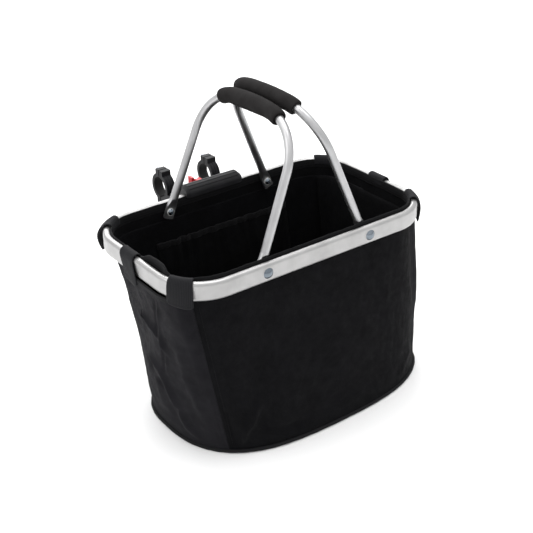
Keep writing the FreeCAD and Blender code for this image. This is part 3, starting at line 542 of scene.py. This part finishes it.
# ---- stitching ----------------------------------------------------------------------------
def stitches(name, line, outward, body, pitch=3.2, length=2.1, thick=0.34, squash=False):
    """A row of thread: each stitch is a small pillow lying along the line, half sunk in the cloth."""
    line = np.asarray(line, float)
    run = np.concatenate([[0], np.cumsum(np.linalg.norm(np.diff(line, axis=0), axis=1))])
    where = np.arange(pitch, run[-1] - pitch, pitch)
    here = np.stack([np.interp(where, run, line[:, k]) for k in range(3)], 1)
    ahead = np.stack([np.interp(where + 0.5, run, line[:, k]) for k in range(3)], 1) - here
    ahead /= np.linalg.norm(ahead, axis=1, keepdims=True)
    out = np.stack([np.interp(where, run, np.asarray(outward, float)[:, k]) for k in range(3)], 1)
    out /= np.linalg.norm(out, axis=1, keepdims=True)
    side = np.cross(ahead, out)
    # Along, across and out, as shares of the length and the thickness.
    shape = [(-0.5, 0, 0), (-0.3, -0.5, 0.1), (-0.3, 0.5, 0.1), (-0.3, 0, 0.8)]
    shape += [(0.3, -0.5, 0.1), (0.3, 0.5, 0.1), (0.3, 0, 0.8), (0.5, 0, 0)]
    skin = [(0, 3, 1), (0, 2, 3), (0, 1, 2), (1, 3, 6, 4), (2, 5, 6, 3), (1, 4, 5, 2)]
    skin += [(4, 6, 7), (6, 5, 7), (4, 7, 5)]
    verts = []
    faces = []
    for i in range(len(where)):
        start = len(verts)
        for a, b, c in shape:
            across = side[i] * b * thick * 1.5
            verts.append(here[i] + ahead[i] * a * length + across + out[i] * (c * thick - 0.05))
        faces += [tuple(start + k for k in f) for f in skin]
    obj = make(name, verts, faces, body, THREAD)
    if squash:
        fold_up(obj)


# ---- bag ----------------------------------------------------------------------------------
SEAMS = {"front": (-0.52, 1.52), "right": (1.52, 3.5), "back": (3.5, 5.5), "left": (5.5, 7.48)}
INSIDE_GAP = 8.9
OUTSIDE_GAP = -1.2


def top_gap(u):
    """How far in from the rim's outer face the wall's top edge is.

    The wall hangs inside the rim. Between the end strap and the front strap it is outside.
    """
    u = np.mod(u, 8.0)
    left = smooth((u - 6.33) / 0.17) * (1 - smooth((u - 7.3) / 0.2))
    right = smooth((u - 1.5) / 0.2) * (1 - smooth((u - 2.5) / 0.17))
    return INSIDE_GAP + (OUTSIDE_GAP - INSIDE_GAP) * (left + right)


def wall_grid(u, v, top, low, z0, z1, swell=0.0):
    """Points between the base's outline and the rim's, inset by low and top, with a slight belly."""
    uu, vv = np.meshgrid(u, v, indexing="ij")
    bx, by = base_at(uu, low)
    rx, ry = from_rim(uu, top)
    x = bx + (rx - bx) * vv
    y = by + (ry - by) * vv
    z = z0 + (z1 - z0) * vv
    p = np.stack([x, y, z], 2)
    if swell:
        p += grid_normals(p) * (swell * np.sin(math.pi * vv))[:, :, None]
    return p, uu, vv


def cloth_relief(run, z, seed, folds=(), slack=1.0):
    """How far the cloth stands off its smooth shape: slow slack, small ripples and given folds."""
    free = smooth(z / 26.0) * smooth((BAG_TOP + 8 - z) / 30.0)
    move = 1.5 * ripples(run, z, 90.0, seed, aspect=1.6)
    move += 0.55 * ripples(run, z, 34.0, seed + 1, aspect=2.0, turn=0.35)
    move += 0.16 * ripples(run, z, 13.0, seed + 2, aspect=1.5, turn=-0.4)
    move *= slack * free
    for points, width, depth in folds:
        move = move + fold(run, z, points, width, depth)
    return move


def end_sink(u, z):
    """How far the end walls sink in between the rim and the base, most of it in their back half."""
    u = np.mod(u, 8.0)
    left = np.exp(-(((u - SINK_AT["left"]) / SINK_WIDE) ** 2))
    right = np.exp(-(((u - SINK_AT["right"]) / SINK_WIDE) ** 2))
    return -SINK * (left + RIGHT_SINK * right) * np.sin(math.pi * np.clip(z / 205.0, 0, 1) ** 1.5) ** 0.9


# Each fold is a line of points (run along the wall, height), its width and how far it stands out.
FRONT_FOLDS = (
    (((20, 196), (34, 120), (46, 60), (44, 8)), 7.0, 1.0),
    (((66, 70), (46, 44), (31, 30), (20, 8)), 5.0, 3.8),
    (((4, 66), (9, 34), (12, 6)), 5.5, -3.0),
    (((130, 22), (92, 18), (62, 30), (52, 54)), 7.0, -3.0),
    (((300, 40), (270, 22), (240, 8)), 6.0, 1.2),
    (((140, 16), (180, 24), (225, 12)), 6.0, 1.1),
    (((262, 190), (247, 120), (250, 60)), 8.0, 0.9),
)
END_FOLDS = (
    (((66, 156), (92, 149), (110, 142), (128, 116)), 4.5, 3.6),
    (((70, 108), (101, 89), (112, 52), (120, 24), (138, 8)), 5.5, 4.6),
    (((60, 90), (84, 66), (98, 40), (110, 12)), 7.5, -3.6),
    (((94, 70), (85, 54)), 5.0, -2.8),
    (((114, 52), (104, 34)), 5.0, -2.8),
    (((150, 150), (142, 100), (150, 56), (146, 20)), 8.0, 2.0),
    (((131, 199), (112, 148), (114, 122), (105, 84)), 1.5, -1.9),
    (((136, 199), (117, 148), (119, 122), (110, 84)), 2.2, 1.3),
)
MIRROR_FOLDS = (
    (((150, 120), (120, 90), (104, 40), (80, 12)), 6.0, 2.4),
    (((60, 160), (88, 130), (96, 80)), 6.0, -1.8),
)
BACK_FOLDS = (
    (((60, 180), (80, 110), (70, 30)), 8.0, 1.8),
    (((300, 170), (270, 110), (286, 40)), 8.0, -1.6),
    (((140, 60), (190, 34), (240, 20)), 6.0, 1.6),
)


def bag_panel(name, side, material, seed, folds):
    """One wall of the bag and, on the front and the back, a row of stitches along each side seam."""
    u0, u1 = SEAMS[side]
    u, run = even_stations(u0, u1, PANEL_STEP)
    v = np.linspace(0, 1, PANEL_ROWS)
    top = top_gap(u)[:, None]
    p, uu, _ = wall_grid(u, v, top, 0.2, WALL_FOOT, BAG_TOP, BELLY)
    rr = np.repeat(run[:, None], len(v), 1)
    edge = smooth(rr / CORNER_FADE) * smooth((run[-1] - rr) / CORNER_FADE)
    p += grid_normals(p) * (cloth_relief(rr, p[:, :, 2], seed, folds) * edge)[:, :, None]
    p += grid_normals(p) * end_sink(uu, p[:, :, 2])[:, :, None]
    groove = np.exp(-((rr - SEAM_IN) / SEAM_WIDE) ** 2) + np.exp(-((run[-1] - rr - SEAM_IN) / SEAM_WIDE) ** 2)
    p -= grid_normals(p) * (SEAM_DEEP * groove)[:, :, None]
    normals = grid_normals(p)
    for end, column in (("a", 4), ("b", len(run) - 5)):
        if side in ("front", "back"):
            stitches(name + "_seam_" + end, p[column, 4:-3], normals[column, 4:-3], "basket", 3.2, squash=True)
    obj = sheet_from(name, p, CLOTH_THICK, "basket", material, run, v * BAG_TOP)
    fold_up(obj)
    return obj, run[-1]


front_panel, front_run = bag_panel("front_panel", "front", CLOTH, 11, FRONT_FOLDS)
back_panel, back_run = bag_panel("back_panel", "back", CLOTH, 23, BACK_FOLDS)
# The two end walls wear the lighter cloth, whose extra lightness is painted light.
left_panel, left_run = bag_panel("left_end_panel", "left", CLOTH_SIDE_PAINTED_LIGHT, 37, END_FOLDS)
right_panel, right_run = bag_panel("right_end_panel", "right", CLOTH_SIDE_PAINTED_LIGHT, 41, MIRROR_FOLDS)
for panel, node, slot, run in (
    (front_panel, "bag_front_panel", "cloth", front_run),
    (back_panel, "bag_back_panel", "cloth", back_run),
    (left_panel, "bag_left_end", "cloth_side", left_run),
    (right_panel, "bag_right_end", "cloth_side", right_run),
):
    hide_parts(node)


def end_lining(name, side, node, seed):
    """The lining of one end, inside the rim and down to the base.

    It sinks in with the wall outside it, and hangs a little clear of it.
    """
    u0, u1 = SEAMS[side]
    u, run = even_stations(u0 - 0.08, u1 + 0.08, 3.4)
    v = np.linspace(0, 1, 60)
    p, uu, vv = wall_grid(u, v, 10.4, low=3.4, z0=6.0, z1=BAG_TOP)
    rr = np.repeat(run[:, None], len(v), 1)
    p += grid_normals(p) * end_sink(uu, p[:, :, 2])[:, :, None]
    move = cloth_relief(rr, p[:, :, 2], seed, (), 0.7)
    p += grid_normals(p) * (np.minimum(move, 0.0) - 4.5 * np.sin(math.pi * vv) ** 0.5)[:, :, None]
    obj = sheet_from(name, p, LINING_THICK, "basket", LINING, run, v * BAG_TOP)
    fold_up(obj)
    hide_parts(node)


end_lining("left_lining", "left", "left_end_lining", 53)
end_lining("right_lining", "right", "right_end_lining", 59)


# ---- mouth: the cloth goes on up inside the rim to a folded tape just above it --------------
def hem_lift(u):
    """The mouth's edge lies lower everywhere but along the front, and stands up in an arch at the left end."""
    u = np.mod(u, 8.0)
    arch = HEM_ARCH * np.exp(-(((u - 6.86) / 0.24) ** 4))
    low = smooth((u - 1.2) / 0.5) * (1 - smooth((u - 7.2) / 0.5))
    return arch - HEM_DROP * low


def mouth_line(inset):
    """The mouth's line at a distance in from the rim's outer face, with its lift and its run."""
    u, run = even_stations(0, 8, 2.4)
    u, run = u[:-1], run[:-1]
    lift = hem_lift(u)
    x, y = from_rim(u, inset + 0.42 * np.maximum(lift, 0.0))
    wavy = 0.45 * ripples(run, 0 * run, 70.0, 67, 10) + 0.2 * ripples(run, 0 * run, 18.0, 68, 10)
    return x, y, lift + wavy, run


def mouth_lining():
    """The band of lining inside the rim, from the walls' top edge up to the hem tape."""
    levels = np.linspace(0, 1, 14)
    grids = []
    for inset in (MOUTH_OUTSIDE, MOUTH_INSIDE):
        x, y, lift, run = mouth_line(inset)
        z = MOUTH_LOW + (MOUTH_HIGH + lift[:, None] - MOUTH_LOW) * levels[None, :]
        grids.append(np.stack([x[:, None] + 0 * z, y[:, None] + 0 * z, z], 2))
    rise = levels * (MOUTH_HIGH - MOUTH_LOW)
    obj = shell("mouth_lining", grids[0], grids[1], "basket", LINING, run, rise, True)


mouth_lining()


def swing_share(y):
    """1 along the front and the back, where the bails swing past the hem, and 0 at the two ends."""
    return smooth((np.abs(y) - SWING_FROM) / SWING_FADE)


def hem_tape():
    """A soft tape folded over the mouth's edge, slightly wavy, and thin where the bails swing past."""
    x, y, lift, run = mouth_line(HEM_MIDDLE)
    path = np.stack([x, y, HEM_TOP + lift], 1)
    slim = swing_share(y)
    profile = [(math.cos(a), 0.8 * math.sin(a)) for a in np.linspace(0, math.pi, 9)]
    profile += [(-1.0, -3.0), (-1.0, -9.5), (-0.4, -10.0), (0.4, -10.0), (1.0, -9.5), (1.0, -3.0)]
    profile = np.array(profile)

    def ring(i):
        pts = profile.copy()
        pts[:, 0] *= 1.05 - 0.55 * slim[i]
        pts[:, 0] += 0.2 * (1 - slim[i]) * math.sin(run[i] / 7.0) * (pts[:, 1] < -1)
        return pts

    return sweep("hem_tape", path, ring, "basket", BINDING, closed=True)


hem = hem_tape()
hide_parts("hem_binding")


def hem_stitches():
    """A row round each end, where no bail swings past it."""
    x, y, lift, _ = mouth_line(HEM_STITCH_IN)
    x1, y1, _, _ = mouth_line(HEM_STITCH_IN + 1.0)
    line = np.stack([x, y, HEM_STITCH_Z + lift], 1)
    out = np.stack([x1 - x, y1 - y, 0 * x], 1)
    for side, half in (("right", x > 0), ("left", x < 0)):
        keep = half & (np.abs(y) < 70)
        stitches("hem_stitches_" + side, line[keep], out[keep], "basket", 3.4)


hem_stitches()


def edge_tape(name, side, node, seed):
    """The tape that binds the top edge of an end wall, under the rim."""
    u0, u1 = {"left": (6.30, 7.50), "right": (1.50, 2.70)}[side]
    u, run = even_stations(u0, u1, 2.2)
    x, y = from_rim(u, top_gap(u) + 0.1)
    z = BAG_TOP - 1.8 + 0.5 * ripples(run, 0 * run, 50.0, seed, 10)
    path = np.stack([x, y, z], 1)
    profile = rounded_box(1.15, 2.6, 0.9)
    obj = sweep(name, path, lambda i: profile, "basket", BINDING)
    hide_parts(node)


edge_tape("left_edge_tape", "left", "left_grip_edge", 71)
edge_tape("right_edge_tape", "right", "right_grip_edge", 73)


# ---- pocket on the inside of the back wall ------------------------------------------------
def pocket():
    """A gathered cloth on the back wall, with an elastic band along its top edge."""
    u, run = even_stations(3.6, 5.4, 1.6)
    low, high = [(z - WALL_FOOT) / (BAG_TOP - WALL_FOOT) for z in POCKET_Z]
    v = np.linspace(low, high, 44)
    p, _, _ = wall_grid(u, v, 9.9, 1.2, WALL_FOOT, BAG_TOP, BELLY)
    keep = (p[:, 0, 0] <= POCKET_X[1]) & (p[:, 0, 0] >= POCKET_X[0])
    p, run = p[keep], run[keep]
    t = (v - v[0]) / (v[-1] - v[0])
    rr = np.repeat(run[:, None], len(v), 1)
    edge = smooth((rr - run[0]) / 10.0) * smooth((run[-1] - rr) / 10.0)
    pleats = ripples(rr, 0 * rr + t[None, :] * 25, 13.0, 83, 12, aspect=4.0)
    fullest = 2.0 + 3.2 * np.sin(math.pi * np.clip(t, 0, 1))[None, :] + 1.2 * pleats * (0.25 + t[None, :])
    p -= grid_normals(p) * (1.2 + fullest * edge)[:, :, None]
    obj = sheet_from("pocket_cloth", p, 0.8, "basket", LINING, run, t * (POCKET_Z[1] - POCKET_Z[0]))
    fold_up(obj)
    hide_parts("pocket_panel")
    top = p[:, -1, :].copy()
    top[:, 2] += 0.5

    def ring(i):
        return rounded_box(1.2, 3.8 + 0.35 * math.sin(i * 1.3) + 0.2 * math.sin(i * 0.41), 1.0)

    band = sweep("pocket_hem", top, ring, "basket", ELASTIC)
    fold_up(band)
    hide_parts("pocket_elastic")


pocket()


# ---- base ---------------------------------------------------------------------------------
def base_piping():
    """The piping sewn round the floor's edge, slightly wavy."""
    u, run = even_stations(0, 8, 3.0)
    u, run = u[:-1], run[:-1]
    x, y = base_at(u)
    path = np.stack([x, y, np.full_like(x, PIPING / 2 + 0.25)], 1)
    drift = 0.5 * ripples(run, 0 * run, 80.0, 91, 10)
    path += grid_normals(np.stack([path, path + [0, 0, 1]], 1), True)[:, 0] * drift[:, None]

    def ring(i):
        return round_ring(PIPING / 2 * (1 + 0.04 * math.sin(i * 0.9)))

    pipe = sweep("base_piping_cord", path, ring, "base", BINDING, closed=True)
    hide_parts("base_piping")


def floor_cloth():
    """The base's cloth cover: a flat closed pan with rounded edges, drawn over the board.

    Rings of points go up the edge, over the top to its middle, then from the middle out underneath.
    """
    u, _ = even_stations(0, 8, 4.0)
    u = u[:-1]
    n = len(u)
    middle = BASE_Y - 6.0

    def shrunk(inset, share):
        x, y = base_at(u, inset)
        return BASE_X + (x - BASE_X) * share, middle + (y - middle) * share

    rings = []
    for inset, z in ((1.6, 0.7), (0.9, 1.6), (0.9, 3.0), (2.2, 4.9), (6.0, FLOOR_TOP)):
        x, y = base_at(u, inset)
        rings.append(np.stack([x, y, z + 0 * x], 1))
    for share in (0.96, 0.9, 0.83, 0.75, 0.66, 0.57, 0.48, 0.39, 0.3, 0.21, 0.12, 0.04):
        x, y = shrunk(6.0, share)
        soft = 0.4 * ripples(x, y, 55.0, 95) + 0.15 * ripples(x, y, 20.0, 96)
        rings.append(np.stack([x, y, FLOOR_TOP + soft], 1))
    last_top = len(rings) - 1
    for share in (0.04, 0.4, 0.75, 0.97):
        x, y = shrunk(4.0, share)
        rings.append(np.stack([x, y, FLOOR_UNDER + 0 * x], 1))
    m = len(rings)
    # The two innermost rings are closed by a face each and not joined to each other.
    faces = [f for f in grid_faces(n, m, wrap=True) if f[0] % m != last_top]
    for i in range(n):
        k = (i + 1) % n
        faces.append((i * m + m - 1, k * m + m - 1, k * m, i * m))
    faces.append(tuple(i * m + last_top for i in range(n)))
    faces.append(tuple(i * m + last_top + 1 for i in range(n))[::-1])
    verts = np.stack(rings, 1).reshape(-1, 3)
    obj = make("base_cover", verts, faces, "base", LINING, verts[:, :2])
    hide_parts("base_panel")


base_piping()
floor_cloth()


# ---- straps -------------------------------------------------------------------------------
def rim_frame_at(u):
    """A point on the rim's outer face and the outward direction there."""
    x, y = rim_at(u)
    xi, yi = rim_at(u, 1.0)
    return np.stack([x, y], -1), np.stack([x - xi, y - yi], -1)


def strap(name, u_mid, node, seed, wide=26.0, bow=0.0, low=0.0, flare=0.0, lean=0.0, tail=8.0):
    """A loop of webbing from the outside of the bag over the rim to the inside, with a row of stitches.

    bow lifts the middle of its outer leg off the rim, low its lower end, flare one edge of it.
    lean moves the lower end along the rim. tail is how far it goes below the rim.
    """
    fine = np.linspace(u_mid - 0.7, u_mid + 0.7, 900)
    x, y = rim_at(fine)
    s = np.concatenate([[0], np.cumsum(np.hypot(np.diff(x), np.diff(y)))])
    s -= np.interp(u_mid, fine, s)
    across = np.linspace(-wide / 2, wide / 2, 25)
    crest = STRAP_CREST
    # Distance out from the rim's outer face and height, from the lower end over the rim to the inside.
    key = [(1.5, RIM_LOW - tail), (1.5, RIM_LOW), (1.6, RIM_MID), (1.5, RIM_TOP - 5)]
    key += [(0.7, RIM_TOP - 1.0), (-1.5, crest - 1.2), (-4.5, crest - 0.4), (-7.6, crest - 1.0)]
    key += [(-9.3, RIM_TOP - 0.6), (-9.6, RIM_TOP - 3.0), (-9.7, RIM_TOP - 7.0)]
    key = np.array(key)
    t_key = np.concatenate([[0], np.cumsum(np.hypot(*np.diff(key, axis=0).T))])
    t = np.linspace(0, t_key[-1], 54)
    off = np.interp(t, t_key, key[:, 0])
    z = np.interp(t, t_key, key[:, 1])
    for _ in range(4):
        off[1:-1] = (off[:-2] + 2 * off[1:-1] + off[2:]) / 4
        z[1:-1] = (z[:-2] + 2 * z[1:-1] + z[2:]) / 4
    down = np.where(t < t_key[4], np.clip((RIM_TOP - z) / (RIM_TALL + tail), 0, 1), 0.0)
    tt, aa = np.meshgrid(t, across, indexing="ij")
    wave = STRAP_WAVE * ripples(aa, tt, 22.0, seed + 200)
    side = smooth(aa / wide + 0.5)
    drop = down[:, None]
    offs = off[:, None] + bow * np.sin(math.pi * drop**0.8) + low * drop + flare * side * smooth(drop) + wave
    place = np.interp(aa * (1 + 0.06 * drop) + lean * smooth(drop), s, fine)
    point, way = rim_frame_at(place)
    corner = STRAP_CORNER * (np.abs(aa) / (wide / 2)) ** 7 * np.exp(-tt / 2.5)
    grid = np.concatenate([point + way * offs[:, :, None], (z[:, None] + corner)[:, :, None]], 2)
    normals = grid_normals(grid)
    rib = 0.03 * np.cos(aa / 1.5 * math.pi)
    edge = np.where(np.abs(aa) > wide / 2 - 0.8, -0.3, 0.0)
    top = grid - normals * (STRAP_THICK / 2 + rib + edge)[:, :, None]
    under = grid + normals * (STRAP_THICK / 2 + edge)[:, :, None]
    row = int(np.argmin(np.abs(z - (RIM_LOW - 0.45 * tail)) + 50 * (t > t_key[4])))
    flat_way = np.concatenate([way[row], 0 * way[row][:, :1]], 1)
    stitches(name + "_stitches", grid[row] + flat_way * (STRAP_THICK / 2 + 0.05), flat_way, "basket", 2.6, 1.7)
    obj = shell(name, under, top, "basket", WEBBING, t, across)
    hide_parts(node)


# One degree of a corner and one millimetre of an end, as steps of u.
CORNER = 1 / 90.0
END = 1 / 94.0
strap("webbing_front_left", 7 + 34 * CORNER, "strap_front_left", 1, 27.5, low=0.4, flare=5.0, tail=4.5)
strap("webbing_end_left", 6.5 - 9.0 * END, "strap_end_left", 2, 26.0, low=-0.6, flare=2.0, lean=8.0)
strap("webbing_back_left", 6 - 52 * CORNER, "strap_back_left", 3, 26.0, bow=5.2, low=1.0)
strap("webbing_front_right", 2 - 28 * CORNER, "strap_front_right", 4, 26.0, bow=2.0, flare=1.6)
strap("webbing_end_right", 2.5 - 7.0 * END, "strap_end_right", 5, 26.0, low=0.3, lean=-4.0)
strap("webbing_back_right", 3 + 42 * CORNER, "strap_back_right", 6, 26.0, bow=1.2)


# ---- grips --------------------------------------------------------------------------------
def bail_curve(tall, y):
    """Height of a bail's centre line at y, in its own plane, above the shoulders."""
    a = BAIL_SLOPE
    n = (-math.cos(a), -math.sin(a))
    u = (-math.sin(a), math.cos(a))
    k = (0.0, tall - BAIL_CROWN)
    px = BAIL_FOOT + n[0] * BAIL_CORNER - k[0]
    py = n[1] * BAIL_CORNER - k[1]
    reach = BAIL_CROWN - BAIL_CORNER
    dot = px * u[0] + py * u[1]
    t = -dot + math.sqrt(dot * dot - (px * px + py * py - reach * reach))
    leg_top = (BAIL_FOOT + u[0] * t, u[1] * t)
    centre = (leg_top[0] + n[0] * BAIL_CORNER, leg_top[1] + n[1] * BAIL_CORNER)
    shoulder = centre[0] * BAIL_CROWN / reach
    y = np.asarray(y, float)
    crown = k[1] + np.sqrt(BAIL_CROWN**2 - y**2)
    bend = centre[1] + np.sqrt(np.maximum(BAIL_CORNER**2 - (np.abs(y) - centre[0]) ** 2, 0))
    return np.where(np.abs(y) < shoulder, crown, bend)


def place_bail(points, which):
    """Leans points of a bail's plane inwards about its pivots."""
    sign = 1 if which == "left" else -1
    c, s = math.cos(sign * LEAN), math.sin(sign * LEAN)
    p = np.asarray(points, float)
    x = p[:, 0] * c + p[:, 2] * s - sign * PIVOT_X
    z = -p[:, 0] * s + p[:, 2] * c + RIM_MID
    return np.stack([x, p[:, 1], z], 1)


def grip(which, seed):
    """A foam sleeve pushed over the bail: rolled ends, a slightly uneven skin."""
    tall = BAIL_TALL[which]
    y = np.linspace(GRIP_FROM, GRIP_TO, 400)
    line = np.stack([0 * y, y, bail_curve(tall, y)], 1)
    run = np.concatenate([[0], np.cumsum(np.linalg.norm(np.diff(line, axis=0), axis=1))])
    total = run[-1]
    bore = TUBE_R + 0.1
    edge = GRIP_R - GRIP_LIP
    # Distance in from the grip's end and radius, from the bore round the rolled lip.
    stops = [(0.9, bore), (0.15, bore + 0.9), (0.0, bore + 2.0), (0.0, edge - 0.4)]
    for a in np.linspace(0.3, math.pi / 2, 6):
        stops.append((GRIP_LIP * (1 - math.cos(a)), edge + GRIP_LIP * math.sin(a) - 0.25))
    middle = [(s, GRIP_R) for s in np.linspace(3.2, total - 3.2, 54)]
    profile = stops + middle + [(total - s, r) for s, r in stops[::-1]]
    where = np.array([s for s, r in profile])
    radius = np.array([r for s, r in profile])

    def at(distance):
        return np.stack([np.interp(distance, run, line[:, k]) for k in range(3)], 1)

    path = at(where)
    ahead = at(where + 0.5) - at(where - 0.5)
    count = 40
    a = np.linspace(0, 2 * math.pi, count, endpoint=False)
    rings = []
    for i in range(len(where)):
        d = ahead[i] / np.linalg.norm(ahead[i])
        side = np.array([1.0, 0, 0])
        other = np.cross(d, side)
        along = where[i] + 0 * a
        dent = 0.10 * ripples(a * 9.0, along, 16.0, seed) + 0.05 * ripples(a * 9.0, along, 5.0, seed + 1)
        r = radius[i] + dent * (radius[i] > GRIP_R - 1)
        rings.append(path[i] + np.cos(a)[:, None] * r[:, None] * side + np.sin(a)[:, None] * r[:, None] * other)
    verts = np.concatenate(rings)
    n = len(where)
    faces = []
    for i in range(n):
        k = (i + 1) % n
        for j in range(count):
            b = (j + 1) % count
            faces.append((i * count + j, i * count + b, k * count + b, k * count + j))
    uu, vv = np.meshgrid(where, a * GRIP_R, indexing="ij")
    uv = np.stack([uu.ravel(), vv.ravel()], 1)
    obj = make(which + "_foam_grip", place_bail(verts, which), faces, which + "_handle", FOAM, uv)
    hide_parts(which + "_grip")


grip("left", 301)
grip("right", 305)


# ---- button spring ------------------------------------------------------------------------
def spring():
    """The coil under the button."""
    low, high = SPRING_Z
    tall = high - low - 2 * SPRING_WIRE
    turn = np.linspace(0, 2 * math.pi * tall / SPRING_PITCH, 260)
    rise = low + SPRING_WIRE + SPRING_PITCH * turn / (2 * math.pi)
    x, y = SPRING_XY[0] + SPRING_R * np.cos(turn), SPRING_XY[1] + SPRING_R * np.sin(turn)
    path = np.stack([x, y, rise], 1)
    obj = sweep("coil_spring", path, lambda i: round_ring(SPRING_WIRE, 10), "adapter", ZINC)
    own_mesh(obj)
    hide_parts("button_spring")


spring()


# ---- stage, light and camera --------------------------------------------------------------
def stage():
    """A pale floor and an even, slightly graded sky."""
    bpy.ops.mesh.primitive_plane_add(size=FLOOR_SIZE, location=(0, 0, -0.0002))
    floor = bpy.context.object
    floor.name = "floor"
    white = Mat("floor_white", (0.93, 0.93, 0.93), 0.9)
    floor.data.materials.append(white.mat)
    world = bpy.data.worlds.new("studio")
    bpy.context.scene.world = world
    world.use_nodes = True
    tree = world.node_tree
    place = tree.nodes.new("ShaderNodeTexCoord")
    parts = tree.nodes.new("ShaderNodeSeparateXYZ")
    ramp = tree.nodes.new("ShaderNodeValToRGB")
    ramp.color_ramp.elements[0].color = SKY_LOW
    ramp.color_ramp.elements[1].color = SKY_HIGH
    ramp.color_ramp.elements[1].position = 0.6
    tree.links.new(place.outputs["Generated"], parts.inputs[0])
    tree.links.new(parts.outputs["Z"], ramp.inputs["Fac"])
    tree.links.new(ramp.outputs["Color"], tree.nodes["Background"].inputs["Color"])
    tree.nodes["Background"].inputs["Strength"].default_value = SKY_STRENGTH
    bpy.context.scene.view_settings.view_transform = "Standard"


def area_light(name, place, aim, size, power):
    """A soft rectangular light, in metres and watts."""
    data = bpy.data.lights.new(name, "AREA")
    data.energy = power
    data.shape = "RECTANGLE"
    data.size, data.size_y = size
    light = bpy.data.objects.new(name, data)
    bpy.context.collection.objects.link(light)
    light.location = place
    light.rotation_euler = (Vector(aim) - Vector(place)).to_track_quat("-Z", "Y").to_euler()


stage()
area_light("key", (-1.7, 0.5, 1.7), (0, 0, 0.15), (1.4, 1.4), 10)
area_light("behind", (0.8, 2.2, 1.5), (0, 0, 0.2), (2.4, 1.0), 30)
area_light("top", (0.2, 0.2, 2.3), (0, 0, 0.15), (1.8, 1.4), 26)


def photo_camera():
    """A camera with the photograph's direction, lens and slight roll."""
    azimuth, elevation, roll = (math.radians(a) for a in (CAMERA_AZIMUTH, CAMERA_ELEVATION, CAMERA_ROLL))
    level = math.cos(elevation)
    back = Vector((math.sin(azimuth) * level, -math.cos(azimuth) * level, math.sin(elevation)))
    forward = -back
    right = forward.cross(Vector((0, 0, 1))).normalized()
    up = right.cross(forward)
    turned_right = math.cos(roll) * right + math.sin(roll) * up
    turned_up = -math.sin(roll) * right + math.cos(roll) * up
    data = bpy.data.cameras.new("camera")
    data.sensor_width = 36.0
    data.lens = CAMERA_LENS
    camera = bpy.data.objects.new("camera", data)
    bpy.context.collection.objects.link(camera)
    axes = Matrix((turned_right, turned_up, back)).transposed().to_4x4()
    camera.matrix_world = Matrix.Translation(CAMERA_AT) @ axes
    bpy.context.scene.camera = camera


photo_camera()
